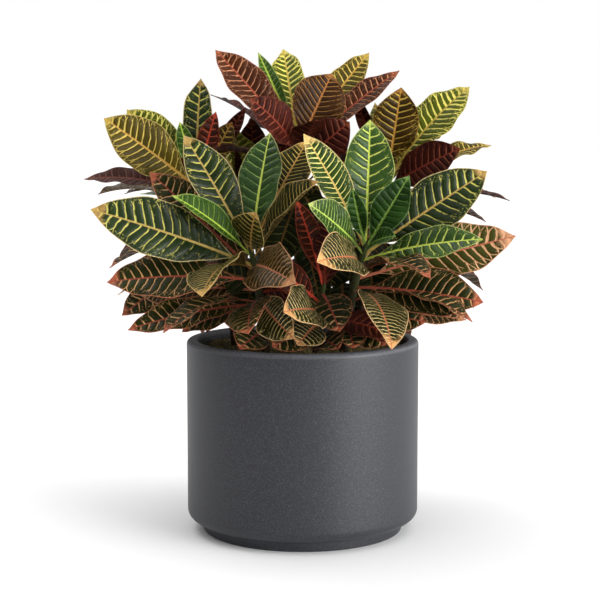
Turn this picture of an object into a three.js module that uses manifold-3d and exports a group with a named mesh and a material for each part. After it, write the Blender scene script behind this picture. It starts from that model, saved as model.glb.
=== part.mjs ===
// A potted croton: a cylindrical planter filled with potting soil under a layer of moss, and eight leafy stems.
// Millimetres, +Z up, +Y towards the back. The origin is the centre of the planter's foot, where it stands.
import * as THREE from "three";
import { mergeVertices } from "three/addons/utils/BufferGeometryUtils.js";
import Module from "manifold-3d";

const wasm = await Module();
wasm.setup();

// Planter
const POT_RADIUS = 140;
const POT_HEIGHT = 232;
const WALL = 13;
const FLOOR_TOP = 26;
const FOOT_RADIUS = 121;
const FOOT_HEIGHT = 14;
const FOOT_ROUND = 2;
const CORNER_ROUND = 12;
const RIM_OUTER_ROUND = 5;
const RIM_INNER_ROUND = 2;
const POT_SEGMENTS = 48;

// Soil and moss
const GAP = 0.3;
const SOIL_TOP = 214;
const MOSS_TOP = 221;
const MOSS_EDGE_DROP = 2;
const MOSS_EDGE_POWER = 6;
const CUSHION_HEIGHT = 2.4;
const CUSHION_SPREAD = [11, 13];
const CUSHION_PHASE = 1;
const RIPPLE_SHARE = 0.6;
const RIPPLE_SPREAD = 7;
const MOSS_RINGS = 4;
const STEM_DEPTH = 60;
const HOLE_CLEARANCE = 0.4;

// Stems and leaves
const STEM_SIDES = 7;
const STEM_STEPS = 5;
const HALVINGS = 30;
const STEM_TOP_RADIUS = 3;
const STRAIGHT_SHARE = 0.35;
const BLADE_THICKNESS = 0.9;
const KEEL = 1.6;
const PETIOLE_SHARE = 0.12;
const PETIOLE_WIDTH = 3.6;
const PETIOLE_TAPER = 0.7;
const FULL_FOLD_HALF_WIDTH = 8;
const BLADE_RISE = 1.3;
const BLADE_FALL = 1;
const LEAF_STATIONS = [0, 0.13, 0.34, 0.58, 0.82, 1];
const SPREAD_STATIONS = [0, 0.14, 0.4, 0.7, 1];
const GOLDEN_ANGLE = 137.5;
const ARCH_UPRIGHT = 0.03;
const ARCH_LEVEL = 0.12;
const SPREAD_FOLD = 14;
const HEAD_TOP_DROP = 4;
const HEAD_LOW_DROP = 76;
const HEAD_TOP_RISE = 72;
const HEAD_LOW_RISE = -18;
const HEAD_TOP_LENGTH = 115;
const HEAD_LOW_LENGTH = 178;
const HEAD_WIDTH_SHARE = 0.33;

// Directions that a leaf's upper face may look in
const FRONT = [0, -1, 0.4];
const UPRIGHT = [0, -1, 0.15];
const HANGING = [0, -0.9, 0.5];
const SLOPING = [0, -0.8, 0.65];
const LEVEL = [0, -0.4, 1];
const BACK = [0, 0.7, 0.7];

// Each stem has its foot in the soil as x, y and its top as x, y, z.
// Each leaf is a row: how far below the stem's top it grows, the place of its tip, its width,
// its arch as a share of its length, where its upper face looks, and its fold along the midrib in degrees.
// A leaf that spreads outwards is a shorter row: how far below the stem's top it grows, its compass angle,
// its rise above level in degrees, its length and its width.
const STEMS = [
  {
    name: "front_left_stem",
    foot: [-42, -42],
    top: [-60, -74, 346],
    radius: 6,
    leaves: [
      [20, [-238, -120, 394], 67, 0.05, FRONT, 12],
      [8, [-137, -58, 476], 54, 0.03, [0.4, -1, 0.3], 14],
      [4, [-38, -40, 479], 52, 0.04, [-0.35, -1, 0.25], 14],
      [10, [-147, -112, 409], 38, 0.05, [0.6, -0.6, 0.6], 24],
      [6, [-53, -112, 390], 50, 0.06, [-0.4, -0.9, 0.3], 16],
      [24, [-108, -212, 306], 64, 0.12, [-0.5, -0.6, 0.7], 14],
      [26, [-8, -212, 320], 60, 0.12, [-0.65, -0.5, 0.65], 12],
      [12, [17, -130, 426], 54, 0.04, [-0.6, -0.4, 0.7], 26],
      [38, [-224, -92, 309], 62, 0.06, SLOPING, 10],
      [50, [-194, -40, 290], 50, 0.06, SLOPING, 10],
      [66, [-200, -100, 255], 44, 0.05, [0, -0.7, 0.7], 14],
      [60, [-59, -205, 265], 56, 0.05, [-0.4, -0.5, 0.75], 12],
      [72, [-140, -78, 250], 44, 0.08, [0, -0.5, 0.9], 12],
      [30, [-180, -30, 433], 50, 0.03, FRONT, 16],
      [2, [6, -22, 470], 54, 0.04, [-0.3, -1, 0.3], 14],
      [58, [-10, -150, 252], 48, 0.08, [-0.5, -0.8, 0.3], 12],
      [100, [-72, -106, 234], 44, 0.06, HANGING, 12],
      [52, [-12, -60, 296], 46, 0.06, HANGING, 12],
      [40, [-92, -60, 318], 44, 0.06, UPRIGHT, 12],
    ],
    spread: [
      [28, 155, 12, 145, 46],
      [42, 92, 8, 120, 42],
      [64, 215, -12, 120, 44],
      [84, 130, -14, 90, 40],
    ],
  },
  {
    name: "front_right_stem",
    foot: [46, -42],
    top: [73, -74, 350],
    radius: 6,
    leaves: [
      [4, [78, -52, 494], 58, 0.03, [0.05, -1, 0.15], 14],
      [2, [56, -105, 417], 22, 0.03, [-0.2, -1, 0.3], 20],
      [6, [120, -105, 431], 40, 0.04, UPRIGHT, 16],
      [12, [213, -62, 435], 64, 0.03, [-0.1, -1, 0.3], 12],
      [18, [201, -130, 361], 44, 0.05, SLOPING, 12],
      [40, [247, -62, 360], 62, 0.02, FRONT, 10],
      [50, [205, -110, 288], 60, 0.07, [0, -1, 0.45], 12],
      [84, [191, -62, 262], 32, 0.04, [0, -0.6, 0.8], 14],
      [54, [96, -200, 247], 56, 0.12, [0.4, -0.6, 0.7], 14],
      [10, [6, -160, 402], 46, 0.04, [0.3, -0.8, 0.5], 16],
      [30, [15, -205, 342], 58, 0.12, [0.65, -0.5, 0.6], 12],
      [8, [102, -150, 366], 30, 0.06, [-0.2, -0.8, 0.6], 16],
      [3, [1, -88, 478], 44, 0.04, [0.5, -1, 0.2], 14],
      [98, [96, -92, 237], 36, 0.06, HANGING, 12],
      [96, [58, -108, 235], 40, 0.06, HANGING, 12],
      [84, [142, -84, 262], 46, 0.08, HANGING, 12],
    ],
    spread: [
      [22, 40, 24, 145, 46],
      [44, 58, 14, 130, 46],
      [66, 330, -6, 135, 46],
      [36, 300, 4, 130, 46],
    ],
  },
  {
    name: "low_front_stem",
    foot: [14, -60],
    top: [24, -68, 302],
    radius: 5,
    leaves: [
      [38, [-21, -180, 285], 58, 0.1, [0.65, -0.5, 0.6], 12],
      [44, [-6, -119, 240], 42, 0.08, [0.3, -0.6, 0.75], 12],
      [40, [108, -104, 246], 50, 0.08, [0, -0.5, 0.85], 12],
      [8, [42, -122, 256], 50, 0.12, FRONT, 10],
      [0, [-7, -100, 403], 28, 0.04, [0.3, -1, 0.2], 16],
      [2, [34, -96, 392], 34, 0.04, [-0.2, -1, 0.2], 14],
      [20, [-40, -84, 330], 36, 0.06, FRONT, 12],
      [62, [41, -118, 236], 44, 0.06, HANGING, 12],
      [50, [-35, -104, 236], 44, 0.06, HANGING, 12],
    ],
    spread: [
      [14, 70, 40, 90, 36],
    ],
  },
  {
    name: "middle_stem",
    foot: [-4, 10],
    top: [-6, 22, 474],
    radius: 7,
    leaves: [
      [12, [-106, 50, 579], 48, 0.03, [0.5, -1, 0.2], 16],
      [4, [-55, 85, 578], 20, 0.03, UPRIGHT, 16],
      [2, [-24, 105, 583], 41, 0.03, UPRIGHT, 14],
      [14, [35, 30, 550], 66, 0.06, [0.15, -1, 0.3], 12],
      [9, [83, 95, 578], 38, 0.03, FRONT, 14],
      [20, [119, 66, 555], 34, 0.03, [-0.3, -0.8, 0.5], 20],
      [22, [-62, -30, 519], 48, 0.1, [0, -0.8, 0.6], 14],
      [30, [-116, 118, 527], 30, 0.06, [0.3, -0.1, 1], 16],
      [16, [-28, 168, 512], 50, 0.1, BACK, 12],
      [34, [52, 150, 494], 54, 0.1, BACK, 12],
      [40, [-70, 150, 492], 52, 0.1, BACK, 12],
      [70, [-34, -30, 322], 52, 0.1, FRONT, 12],
      [60, [34, -20, 350], 50, 0.1, FRONT, 12],
      [34, [56, 0, 492], 52, 0.05, UPRIGHT, 12],
      [50, [-49, 0, 459], 46, 0.05, UPRIGHT, 12],
      [90, [18, 0, 416], 46, 0.05, UPRIGHT, 12],
      [90, [24, -24, 262], 40, 0.08, FRONT, 12],
    ],
    spread: [
      [56, 200, 20, 120, 44],
      [62, 340, 18, 125, 44],
      [70, 90, 12, 130, 46],
      [34, 290, 40, 84, 36],
      [150, 84, -24, 120, 44],
    ],
  },
  {
    name: "left_stem",
    foot: [-78, 14],
    top: [-130, 25, 424],
    radius: 6,
    leaves: [
      [14, [-234, -20, 496], 63, 0.04, [0.1, -1, 0.35], 10],
      [10, [-216, 62, 507], 54, 0.04, [0.2, -1, 0.3], 12],
      [2, [-125, 62, 545], 37, 0.03, [-0.2, -1, 0.1], 16],
      [4, [-149, 32, 492], 22, 0.03, UPRIGHT, 16],
      [4, [-104, 12, 504], 26, 0.03, UPRIGHT, 16],
      [6, [-70, 62, 510], 20, 0.03, [0.3, -0.8, 0.3], 20],
      [8, [-86, 45, 492], 32, 0.04, UPRIGHT, 12],
      [22, [-270, 62, 422], 32, 0.08, [0, -0.6, 0.8], 16],
      [28, [-226, 112, 402], 28, 0.08, LEVEL, 16],
      [16, [-172, 12, 440], 44, 0.05, FRONT, 14],
      [60, [-223, 40, 334], 30, 0.1, LEVEL, 14],
      [36, [-206, 150, 440], 52, 0.08, BACK, 12],
      [72, [-232, 96, 318], 54, 0.1, [-0.4, 0.3, 0.9], 12],
      [100, [-214, 20, 262], 50, 0.1, [-0.3, -0.2, 0.9], 12],
      [60, [-66, -16, 330], 52, 0.08, FRONT, 12],
      [90, [-216, -20, 262], 46, 0.08, HANGING, 12],
    ],
    spread: [
      [48, 150, 10, 150, 48],
      [64, 110, 0, 120, 44],
      [86, 215, -8, 120, 44],
    ],
  },
  {
    name: "right_stem",
    foot: [66, 20],
    top: [104, 32, 428],
    radius: 6,
    leaves: [
      [4, [118, 10, 533], 57, 0.03, UPRIGHT, 12],
      [8, [205, 62, 535], 56, 0.08, [-0.4, -1, 0.5], 12],
      [18, [186, -24, 461], 50, 0.06, FRONT, 12],
      [22, [241, 130, 463], 32, 0.08, [0, -0.6, 0.8], 14],
      [6, [90, 82, 516], 24, 0.04, UPRIGHT, 14],
      [40, [246, 120, 397], 36, 0.12, LEVEL, 14],
      [2, [61, 62, 532], 18, 0.03, [-0.3, -1, 0.2], 20],
      [30, [184, 126, 488], 52, 0.1, BACK, 12],
      [70, [232, 70, 318], 54, 0.1, [0.4, 0.2, 0.9], 12],
      [100, [208, 10, 268], 46, 0.1, [0.3, -0.2, 0.9], 12],
      [90, [82, -30, 270], 54, 0.1, FRONT, 12],
      [70, [50, 0, 330], 50, 0.08, FRONT, 12],
    ],
    spread: [
      [26, 50, 34, 135, 46],
      [50, 345, 8, 150, 48],
      [60, 25, 0, 140, 46],
      [84, 310, -8, 110, 42],
      [112, 30, -14, 150, 48],
      [130, 350, -22, 105, 42],
    ],
  },
  {
    name: "back_left_stem",
    foot: [-44, 66],
    top: [-62, 96, 376],
    radius: 6,
    leaves: [
      [60, [-75, 30, 245], 60, 0.1, FRONT, 12],
      [40, [-36, 40, 290], 54, 0.1, FRONT, 12],
      [6, [-63, 80, 497], 46, 0.04, UPRIGHT, 12],
    ],
    spread: [
      ...headOfLeaves(22, 100, [2, 7, 9, 10, 12, 14, 15, 17, 20]),
      [104, 68, -24, 150, 48],
      [108, 130, -26, 125, 46],
      [92, 188, -4, 120, 44],
    ],
  },
  {
    name: "back_right_stem",
    foot: [40, 70],
    top: [62, 100, 370],
    radius: 6,
    leaves: [
      [70, [50, 24, 240], 54, 0.1, FRONT, 12],
      [40, [30, 40, 290], 54, 0.1, FRONT, 12],
    ],
    spread: [
      ...headOfLeaves(22, 60, [1, 6, 7, 9, 12, 14, 15, 17, 19, 20]),
      [104, 104, -24, 150, 48],
      [108, 44, -26, 125, 46],
      [90, 352, -4, 115, 44],
    ],
  },
];

/** The spreading leaves of a whole head, by the golden angle: upright at its top, longer and drooping lower. */
function headOfLeaves(count, turn, without) {
  const rows = [];
  for (let k = 0; k < count; k++) {
    const age = k / (count - 1);
    const drop = THREE.MathUtils.lerp(HEAD_TOP_DROP, HEAD_LOW_DROP, age);
    const rise = THREE.MathUtils.lerp(HEAD_TOP_RISE, HEAD_LOW_RISE, age);
    const length = THREE.MathUtils.lerp(HEAD_TOP_LENGTH, HEAD_LOW_LENGTH, Math.sqrt(age));
    rows.push([drop, turn + k * GOLDEN_ANGLE, rise, length, HEAD_WIDTH_SHARE * length]);
  }
  return rows.filter((row, k) => !without.includes(k));
}

/** The full row of a leaf that spreads outwards from a stem. */
function spreadLeaf(top, [drop, angle, rise, length, width]) {
  const around = THREE.MathUtils.degToRad(angle);
  const up = THREE.MathUtils.degToRad(rise);
  const out = new THREE.Vector3(Math.cos(around), Math.sin(around), 0);
  const tip = new THREE.Vector3(...top).addScaledVector(out, length * Math.cos(up));
  tip.z += length * Math.sin(up) - drop;
  const face = [-Math.sin(up) * out.x, -Math.sin(up) * out.y, Math.cos(up)];
  const arch = THREE.MathUtils.lerp(ARCH_UPRIGHT, ARCH_LEVEL, Math.cos(up));
  return [drop, tip.toArray(), width, arch, face, SPREAD_FOLD, SPREAD_STATIONS];
}

/** The full rows of all leaves of a stem. */
function leavesOf(stem) {
  return [...stem.leaves, ...stem.spread.map((row) => spreadLeaf(stem.top, row))];
}

/** A point on the quadratic curve from a to c that leans towards b, and its direction there. */
function curveAt(a, b, c, t) {
  const point = a.clone().multiplyScalar((1 - t) ** 2);
  point.addScaledVector(b, 2 * t * (1 - t)).addScaledVector(c, t ** 2);
  const tangent = b.clone().sub(a).multiplyScalar(1 - t);
  tangent.addScaledVector(c.clone().sub(b), t).normalize();
  return { point, tangent };
}

/** The half width of a blade at t along the midrib: a slim stalk, then a lance shape widest past its middle. */
function halfWidth(width, t) {
  const u = Math.max(0, (t - PETIOLE_SHARE) / (1 - PETIOLE_SHARE));
  const lance = (v) => v ** BLADE_RISE * (1 - v) ** BLADE_FALL;
  const widest = lance(BLADE_RISE / (BLADE_RISE + BLADE_FALL));
  return Math.max(((width / 2) * lance(u)) / widest, (PETIOLE_WIDTH / 2) * (1 - PETIOLE_TAPER * t));
}

/** A closed surface through rings that all have as many points, with a flat end on the first and the last. */
function loft(rings) {
  const count = rings[0].length;
  const positions = rings.flat().flatMap((p) => [p.x, p.y, p.z]);
  const index = [];
  for (let r = 0; r + 1 < rings.length; r++) {
    for (let i = 0; i < count; i++) {
      const a = r * count + i;
      const b = r * count + ((i + 1) % count);
      index.push(a, b, b + count, a, b + count, a + count);
    }
  }
  const last = (rings.length - 1) * count;
  for (let i = 1; i + 1 < count; i++) {
    index.push(0, i + 1, i, last, last + i, last + i + 1);
  }
  const geometry = new THREE.BufferGeometry();
  geometry.setAttribute("position", new THREE.Float32BufferAttribute(positions, 3));
  geometry.setIndex(index);
  return geometry;
}

/** The solid of a closed geometry. */
function solidOf(geometry) {
  const bare = geometry.clone();
  bare.deleteAttribute("normal");
  bare.deleteAttribute("uv");
  const merged = mergeVertices(bare, 1e-4);
  return new wasm.Manifold(
    new wasm.Mesh({
      numProp: 3,
      vertProperties: new Float32Array(merged.attributes.position.array),
      triVerts: new Uint32Array(merged.index.array),
    }),
  );
}

/** The geometry of a solid. */
function geometryOf(solid) {
  const mesh = solid.getMesh();
  const geometry = new THREE.BufferGeometry();
  geometry.setAttribute("position", new THREE.BufferAttribute(mesh.vertProperties, 3));
  geometry.setIndex(new THREE.BufferAttribute(mesh.triVerts, 1));
  geometry.computeVertexNormals();
  return geometry;
}

/** The curve of a stem: up from its foot in the soil, then leaning out to its top. */
function stemCurve(stem) {
  const [x, y] = stem.foot;
  const foot = new THREE.Vector3(x, y, SOIL_TOP - STEM_DEPTH);
  const top = new THREE.Vector3(...stem.top);
  const bend = new THREE.Vector3(x, y, SOIL_TOP + STRAIGHT_SHARE * (top.z - SOIL_TOP));
  return { foot, bend, top };
}

/** A stem's tapered tube, made wider and its foot deeper by extra. */
function stemGeometry(stem, extra = 0) {
  const { foot, bend, top } = stemCurve(stem);
  const rings = [];
  for (let i = 0; i <= STEM_STEPS; i++) {
    const { point, tangent } = curveAt(foot, bend, top, i / STEM_STEPS);
    point.z -= i === 0 ? extra : 0;
    const radius = THREE.MathUtils.lerp(stem.radius, STEM_TOP_RADIUS, (i / STEM_STEPS) ** 2) + extra;
    const side = new THREE.Vector3(1, 0, 0).addScaledVector(tangent, -tangent.x).normalize();
    const front = new THREE.Vector3().crossVectors(tangent, side);
    const ring = [];
    for (let k = 0; k < STEM_SIDES; k++) {
      const angle = (k / STEM_SIDES) * 2 * Math.PI;
      const out = side.clone().multiplyScalar(radius * Math.cos(angle));
      ring.push(point.clone().add(out.addScaledVector(front, radius * Math.sin(angle))));
    }
    rings.push(ring);
  }
  return loft(rings);
}

/** The point on a stem's axis that lies drop below its top, found by halving. */
function pointOnStem(stem, drop) {
  const { foot, bend, top } = stemCurve(stem);
  const height = top.z - drop;
  let low = 0;
  let high = 1;
  for (let i = 0; i < HALVINGS; i++) {
    const middle = (low + high) / 2;
    if (curveAt(foot, bend, top, middle).point.z < height) {
      low = middle;
    } else {
      high = middle;
    }
  }
  return curveAt(foot, bend, top, low).point;
}

/** The frame of a leaf at t: its point on the midrib, and its side and upward directions. */
function leafFrame(stem, row, t) {
  const [drop, tip, , arch, face] = row;
  const base = pointOnStem(stem, drop);
  const end = new THREE.Vector3(...tip);
  const chord = end.clone().sub(base);
  const length = chord.length();
  chord.normalize();
  const up = new THREE.Vector3(...face);
  up.addScaledVector(chord, -up.dot(chord)).normalize();
  const bend = base.clone().add(end).multiplyScalar(0.5).addScaledVector(up, 2 * arch * length);
  const { point, tangent } = curveAt(base, bend, end, t);
  const side = new THREE.Vector3().crossVectors(tangent, up).normalize();
  return { point, side, up: new THREE.Vector3().crossVectors(side, tangent) };
}

/** One leaf: a thin blade folded along its midrib, on a stalk that starts inside the stem. */
function leafGeometry(stem, row) {
  const [, , width, , , fold, stations = LEAF_STATIONS] = row;
  const rise = Math.tan(THREE.MathUtils.degToRad(fold));
  const rings = stations.map((t) => {
    const { point, side, up } = leafFrame(stem, row, t);
    const half = halfWidth(width, t);
    const at = (x, height) => point.clone().addScaledVector(side, x).addScaledVector(up, height);
    const edge = half * rise * Math.min(1, half / FULL_FOLD_HALF_WIDTH);
    const lower = -BLADE_THICKNESS;
    const topFace = [at(-half, edge), at(0, 0), at(half, edge)];
    return [...topFace, at(half, edge + lower), at(0, lower * KEEL), at(-half, edge + lower)];
  });
  return loft(rings);
}

/** A stem with all its leaves, joined in one solid. */
function leafyStem(stem) {
  let solid = solidOf(stemGeometry(stem));
  for (const row of leavesOf(stem)) {
    solid = solid.add(solidOf(leafGeometry(stem, row)));
  }
  return geometryOf(solid);
}

/** The points of a quarter circle, from one angle to another in degrees. */
function arc(x, z, radius, from, to, steps) {
  const points = [];
  for (let i = 0; i <= steps; i++) {
    const angle = THREE.MathUtils.degToRad(from + ((to - from) * i) / steps);
    points.push(new THREE.Vector2(x + radius * Math.cos(angle), z + radius * Math.sin(angle)));
  }
  return points;
}

/** A solid of revolution about Z, from a profile of radius and height that starts and ends on the axis. */
function turned(profile) {
  return new THREE.LatheGeometry(profile, POT_SEGMENTS).rotateX(Math.PI / 2);
}

/** The planter: a straight wall on an inset flat foot, with a rounded lower corner and rim. */
function planterGeometry() {
  const inner = POT_RADIUS - WALL;
  return turned([
    new THREE.Vector2(0, 0),
    ...arc(FOOT_RADIUS - FOOT_ROUND, FOOT_ROUND, FOOT_ROUND, -90, 0, 1),
    new THREE.Vector2(FOOT_RADIUS, FOOT_HEIGHT),
    ...arc(POT_RADIUS - CORNER_ROUND, FOOT_HEIGHT + CORNER_ROUND, CORNER_ROUND, -90, 0, 3),
    ...arc(POT_RADIUS - RIM_OUTER_ROUND, POT_HEIGHT - RIM_OUTER_ROUND, RIM_OUTER_ROUND, 0, 90, 2),
    ...arc(inner + RIM_INNER_ROUND, POT_HEIGHT - RIM_INNER_ROUND, RIM_INNER_ROUND, 90, 180, 1),
    new THREE.Vector2(inner, FLOOR_TOP),
    new THREE.Vector2(0, FLOOR_TOP),
  ]);
}

/** Cuts a plain hole round each stem. */
function withStemHoles(solid) {
  for (const stem of STEMS) {
    solid = solid.subtract(solidOf(stemGeometry(stem, HOLE_CLEARANCE)));
  }
  return geometryOf(solid);
}

/** The soil that fills the planter. */
function soilGeometry() {
  const radius = POT_RADIUS - WALL - GAP;
  const profile = [
    new THREE.Vector2(0, FLOOR_TOP + GAP),
    new THREE.Vector2(radius, FLOOR_TOP + GAP),
    new THREE.Vector2(radius, SOIL_TOP),
    new THREE.Vector2(0, SOIL_TOP),
  ];
  return withStemHoles(solidOf(turned(profile)));
}

/** The height of the moss at a place: low cushions that fade out towards the wall. */
function mossHeight(x, y) {
  const [spreadX, spreadY] = CUSHION_SPREAD;
  const cushion = Math.sin(x / spreadX + CUSHION_PHASE) * Math.cos(y / spreadY);
  const ripple = RIPPLE_SHARE * Math.sin((x + y) / RIPPLE_SPREAD);
  const fade = 1 - (Math.hypot(x, y) / (POT_RADIUS - WALL)) ** MOSS_EDGE_POWER;
  return MOSS_TOP - MOSS_EDGE_DROP + (MOSS_EDGE_DROP + CUSHION_HEIGHT * (cushion + ripple)) * fade;
}

/** The moss: a thin bumpy layer on the soil. */
function mossGeometry() {
  const radius = POT_RADIUS - WALL - GAP;
  const profile = [new THREE.Vector2(0, SOIL_TOP + GAP), new THREE.Vector2(radius, SOIL_TOP + GAP)];
  for (let i = MOSS_RINGS; i >= 0; i--) {
    profile.push(new THREE.Vector2((radius * i) / MOSS_RINGS, MOSS_TOP));
  }
  const layer = turned(profile);
  const position = layer.attributes.position;
  for (let i = 0; i < position.count; i++) {
    if (position.getZ(i) > MOSS_TOP - 1) {
      position.setZ(i, mossHeight(position.getX(i), position.getY(i)));
    }
  }
  return withStemHoles(solidOf(layer));
}

/** A named mesh with its own finish. */
function piece(name, geometry, color, roughness) {
  const material = new THREE.MeshStandardMaterial({ color, roughness, metalness: 0 });
  const mesh = new THREE.Mesh(geometry, material);
  mesh.name = name;
  return mesh;
}

const plant = new THREE.Group();
plant.add(piece("planter", planterGeometry(), 0x55575c, 0.75));
plant.add(piece("potting_soil", soilGeometry(), 0x2a1f16, 1));
plant.add(piece("moss_cover", mossGeometry(), 0x4a4424, 1));
for (const stem of STEMS) {
  plant.add(piece(stem.name, leafyStem(stem), 0x4a5a24, 0.4));
}

export default plant;
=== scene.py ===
"""Looks of the potted croton: fine leaves with their vein markings, a matte speckled planter and moss.

All sizes here are millimetres in the row frame, with the planter's foot at the origin, +Z up and +Y
towards the back. Meshes are made in metres.
"""

import logging
import math
from dataclasses import dataclass, field
from enum import Enum

import bpy
import numpy as np
from bpy.types import Material, Node, NodeSocket, NodeTree, Object
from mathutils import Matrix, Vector


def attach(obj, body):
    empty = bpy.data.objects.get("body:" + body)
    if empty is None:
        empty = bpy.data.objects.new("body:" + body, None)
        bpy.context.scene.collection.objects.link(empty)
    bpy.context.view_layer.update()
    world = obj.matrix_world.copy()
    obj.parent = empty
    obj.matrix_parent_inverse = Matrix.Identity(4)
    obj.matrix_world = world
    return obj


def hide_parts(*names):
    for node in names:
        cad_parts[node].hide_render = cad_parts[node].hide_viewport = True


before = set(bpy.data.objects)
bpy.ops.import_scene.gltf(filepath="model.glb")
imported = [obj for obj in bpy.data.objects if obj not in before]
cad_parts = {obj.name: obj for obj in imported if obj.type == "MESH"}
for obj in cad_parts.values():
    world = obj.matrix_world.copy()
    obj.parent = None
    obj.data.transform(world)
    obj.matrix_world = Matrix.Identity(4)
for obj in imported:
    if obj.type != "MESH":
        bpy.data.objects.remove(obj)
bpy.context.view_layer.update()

LOG = logging.getLogger("potted_croton")

MM = 0.001
SEED = 20260
GOLDEN_ANGLE = 137.5
# A wave may start anywhere in this span of radians.
ANY_START = (0.0, 6.0)

Point = tuple[float, float, float]

# Directions that a leaf's upper face may look in
FRONT = (0, -1, 0.4)
UPRIGHT = (0, -1, 0.15)
HANGING = (0, -0.9, 0.5)
SLOPING = (0, -0.8, 0.65)
LEVEL = (0, -0.4, 1)
BACK = (0, 0.7, 0.7)


def linear(hex_colour: str) -> tuple[float, float, float, float]:
    """Turns an sRGB colour such as "#4a5a24" into a linear one with full alpha.

    Args:
        hex_colour: the colour as six hex digits after a hash sign.

    Returns:
        Red, green, blue and alpha, each from 0 to 1.
    """
    parts = [int(hex_colour[i : i + 2], 16) / 255 for i in (1, 3, 5)]
    red, green, blue = [c / 12.92 if c <= 0.04045 else ((c + 0.055) / 1.055) ** 2.4 for c in parts]
    return (red, green, blue, 1.0)


def add_node(tree: NodeTree, kind: str, inputs: dict | tuple = (), **settings: str) -> Node:
    """Adds one shader node, with its settings, socket values and links.

    Args:
        tree: the node tree of a material or of the world.
        kind: the node's type name, without the word ShaderNode before it.
        inputs: the inputs by name or number, or in a row from the first one. Each is a value to set, an
            output socket to link or a node whose first output is linked.
        settings: the node's own properties.

    Returns:
        The new node.
    """
    node = tree.nodes.new("ShaderNode" + kind)
    for name, value in settings.items():
        setattr(node, name, value)
    for name, value in inputs.items() if isinstance(inputs, dict) else enumerate(inputs):
        if isinstance(value, Node):
            value = value.outputs[0]
        if isinstance(value, NodeSocket):
            tree.links.new(value, node.inputs[name])
        else:
            node.inputs[name].default_value = value
    return node


def measure(tree: NodeTree, name: str) -> bpy.types.bpy_prop_collection:
    """Reads one of the mesh's own measures as three values.

    Args:
        tree: the material's node tree.
        name: the name of the measure.

    Returns:
        The output sockets X, Y and Z.
    """
    vector = add_node(tree, "Attribute", attribute_name=name).outputs["Vector"]
    return add_node(tree, "SeparateXYZ", (vector,)).outputs


def new_material(name: str) -> tuple[Material, NodeTree]:
    """Makes a material with an empty node tree.

    Args:
        name: the material's name.

    Returns:
        The material and its node tree.
    """
    material = bpy.data.materials.new(name)
    material.use_nodes = True
    material.node_tree.nodes.clear()
    return material, material.node_tree


def with_surface(material: Material, inputs: dict) -> Material:
    """Ends a material with its surface shader.

    Args:
        material: the material, with all its other nodes.
        inputs: the shader's inputs, as add_node takes them.

    Returns:
        The same material.
    """
    shader = add_node(material.node_tree, "BsdfPrincipled", inputs)
    add_node(material.node_tree, "OutputMaterial", {"Surface": shader})
    return material


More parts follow.
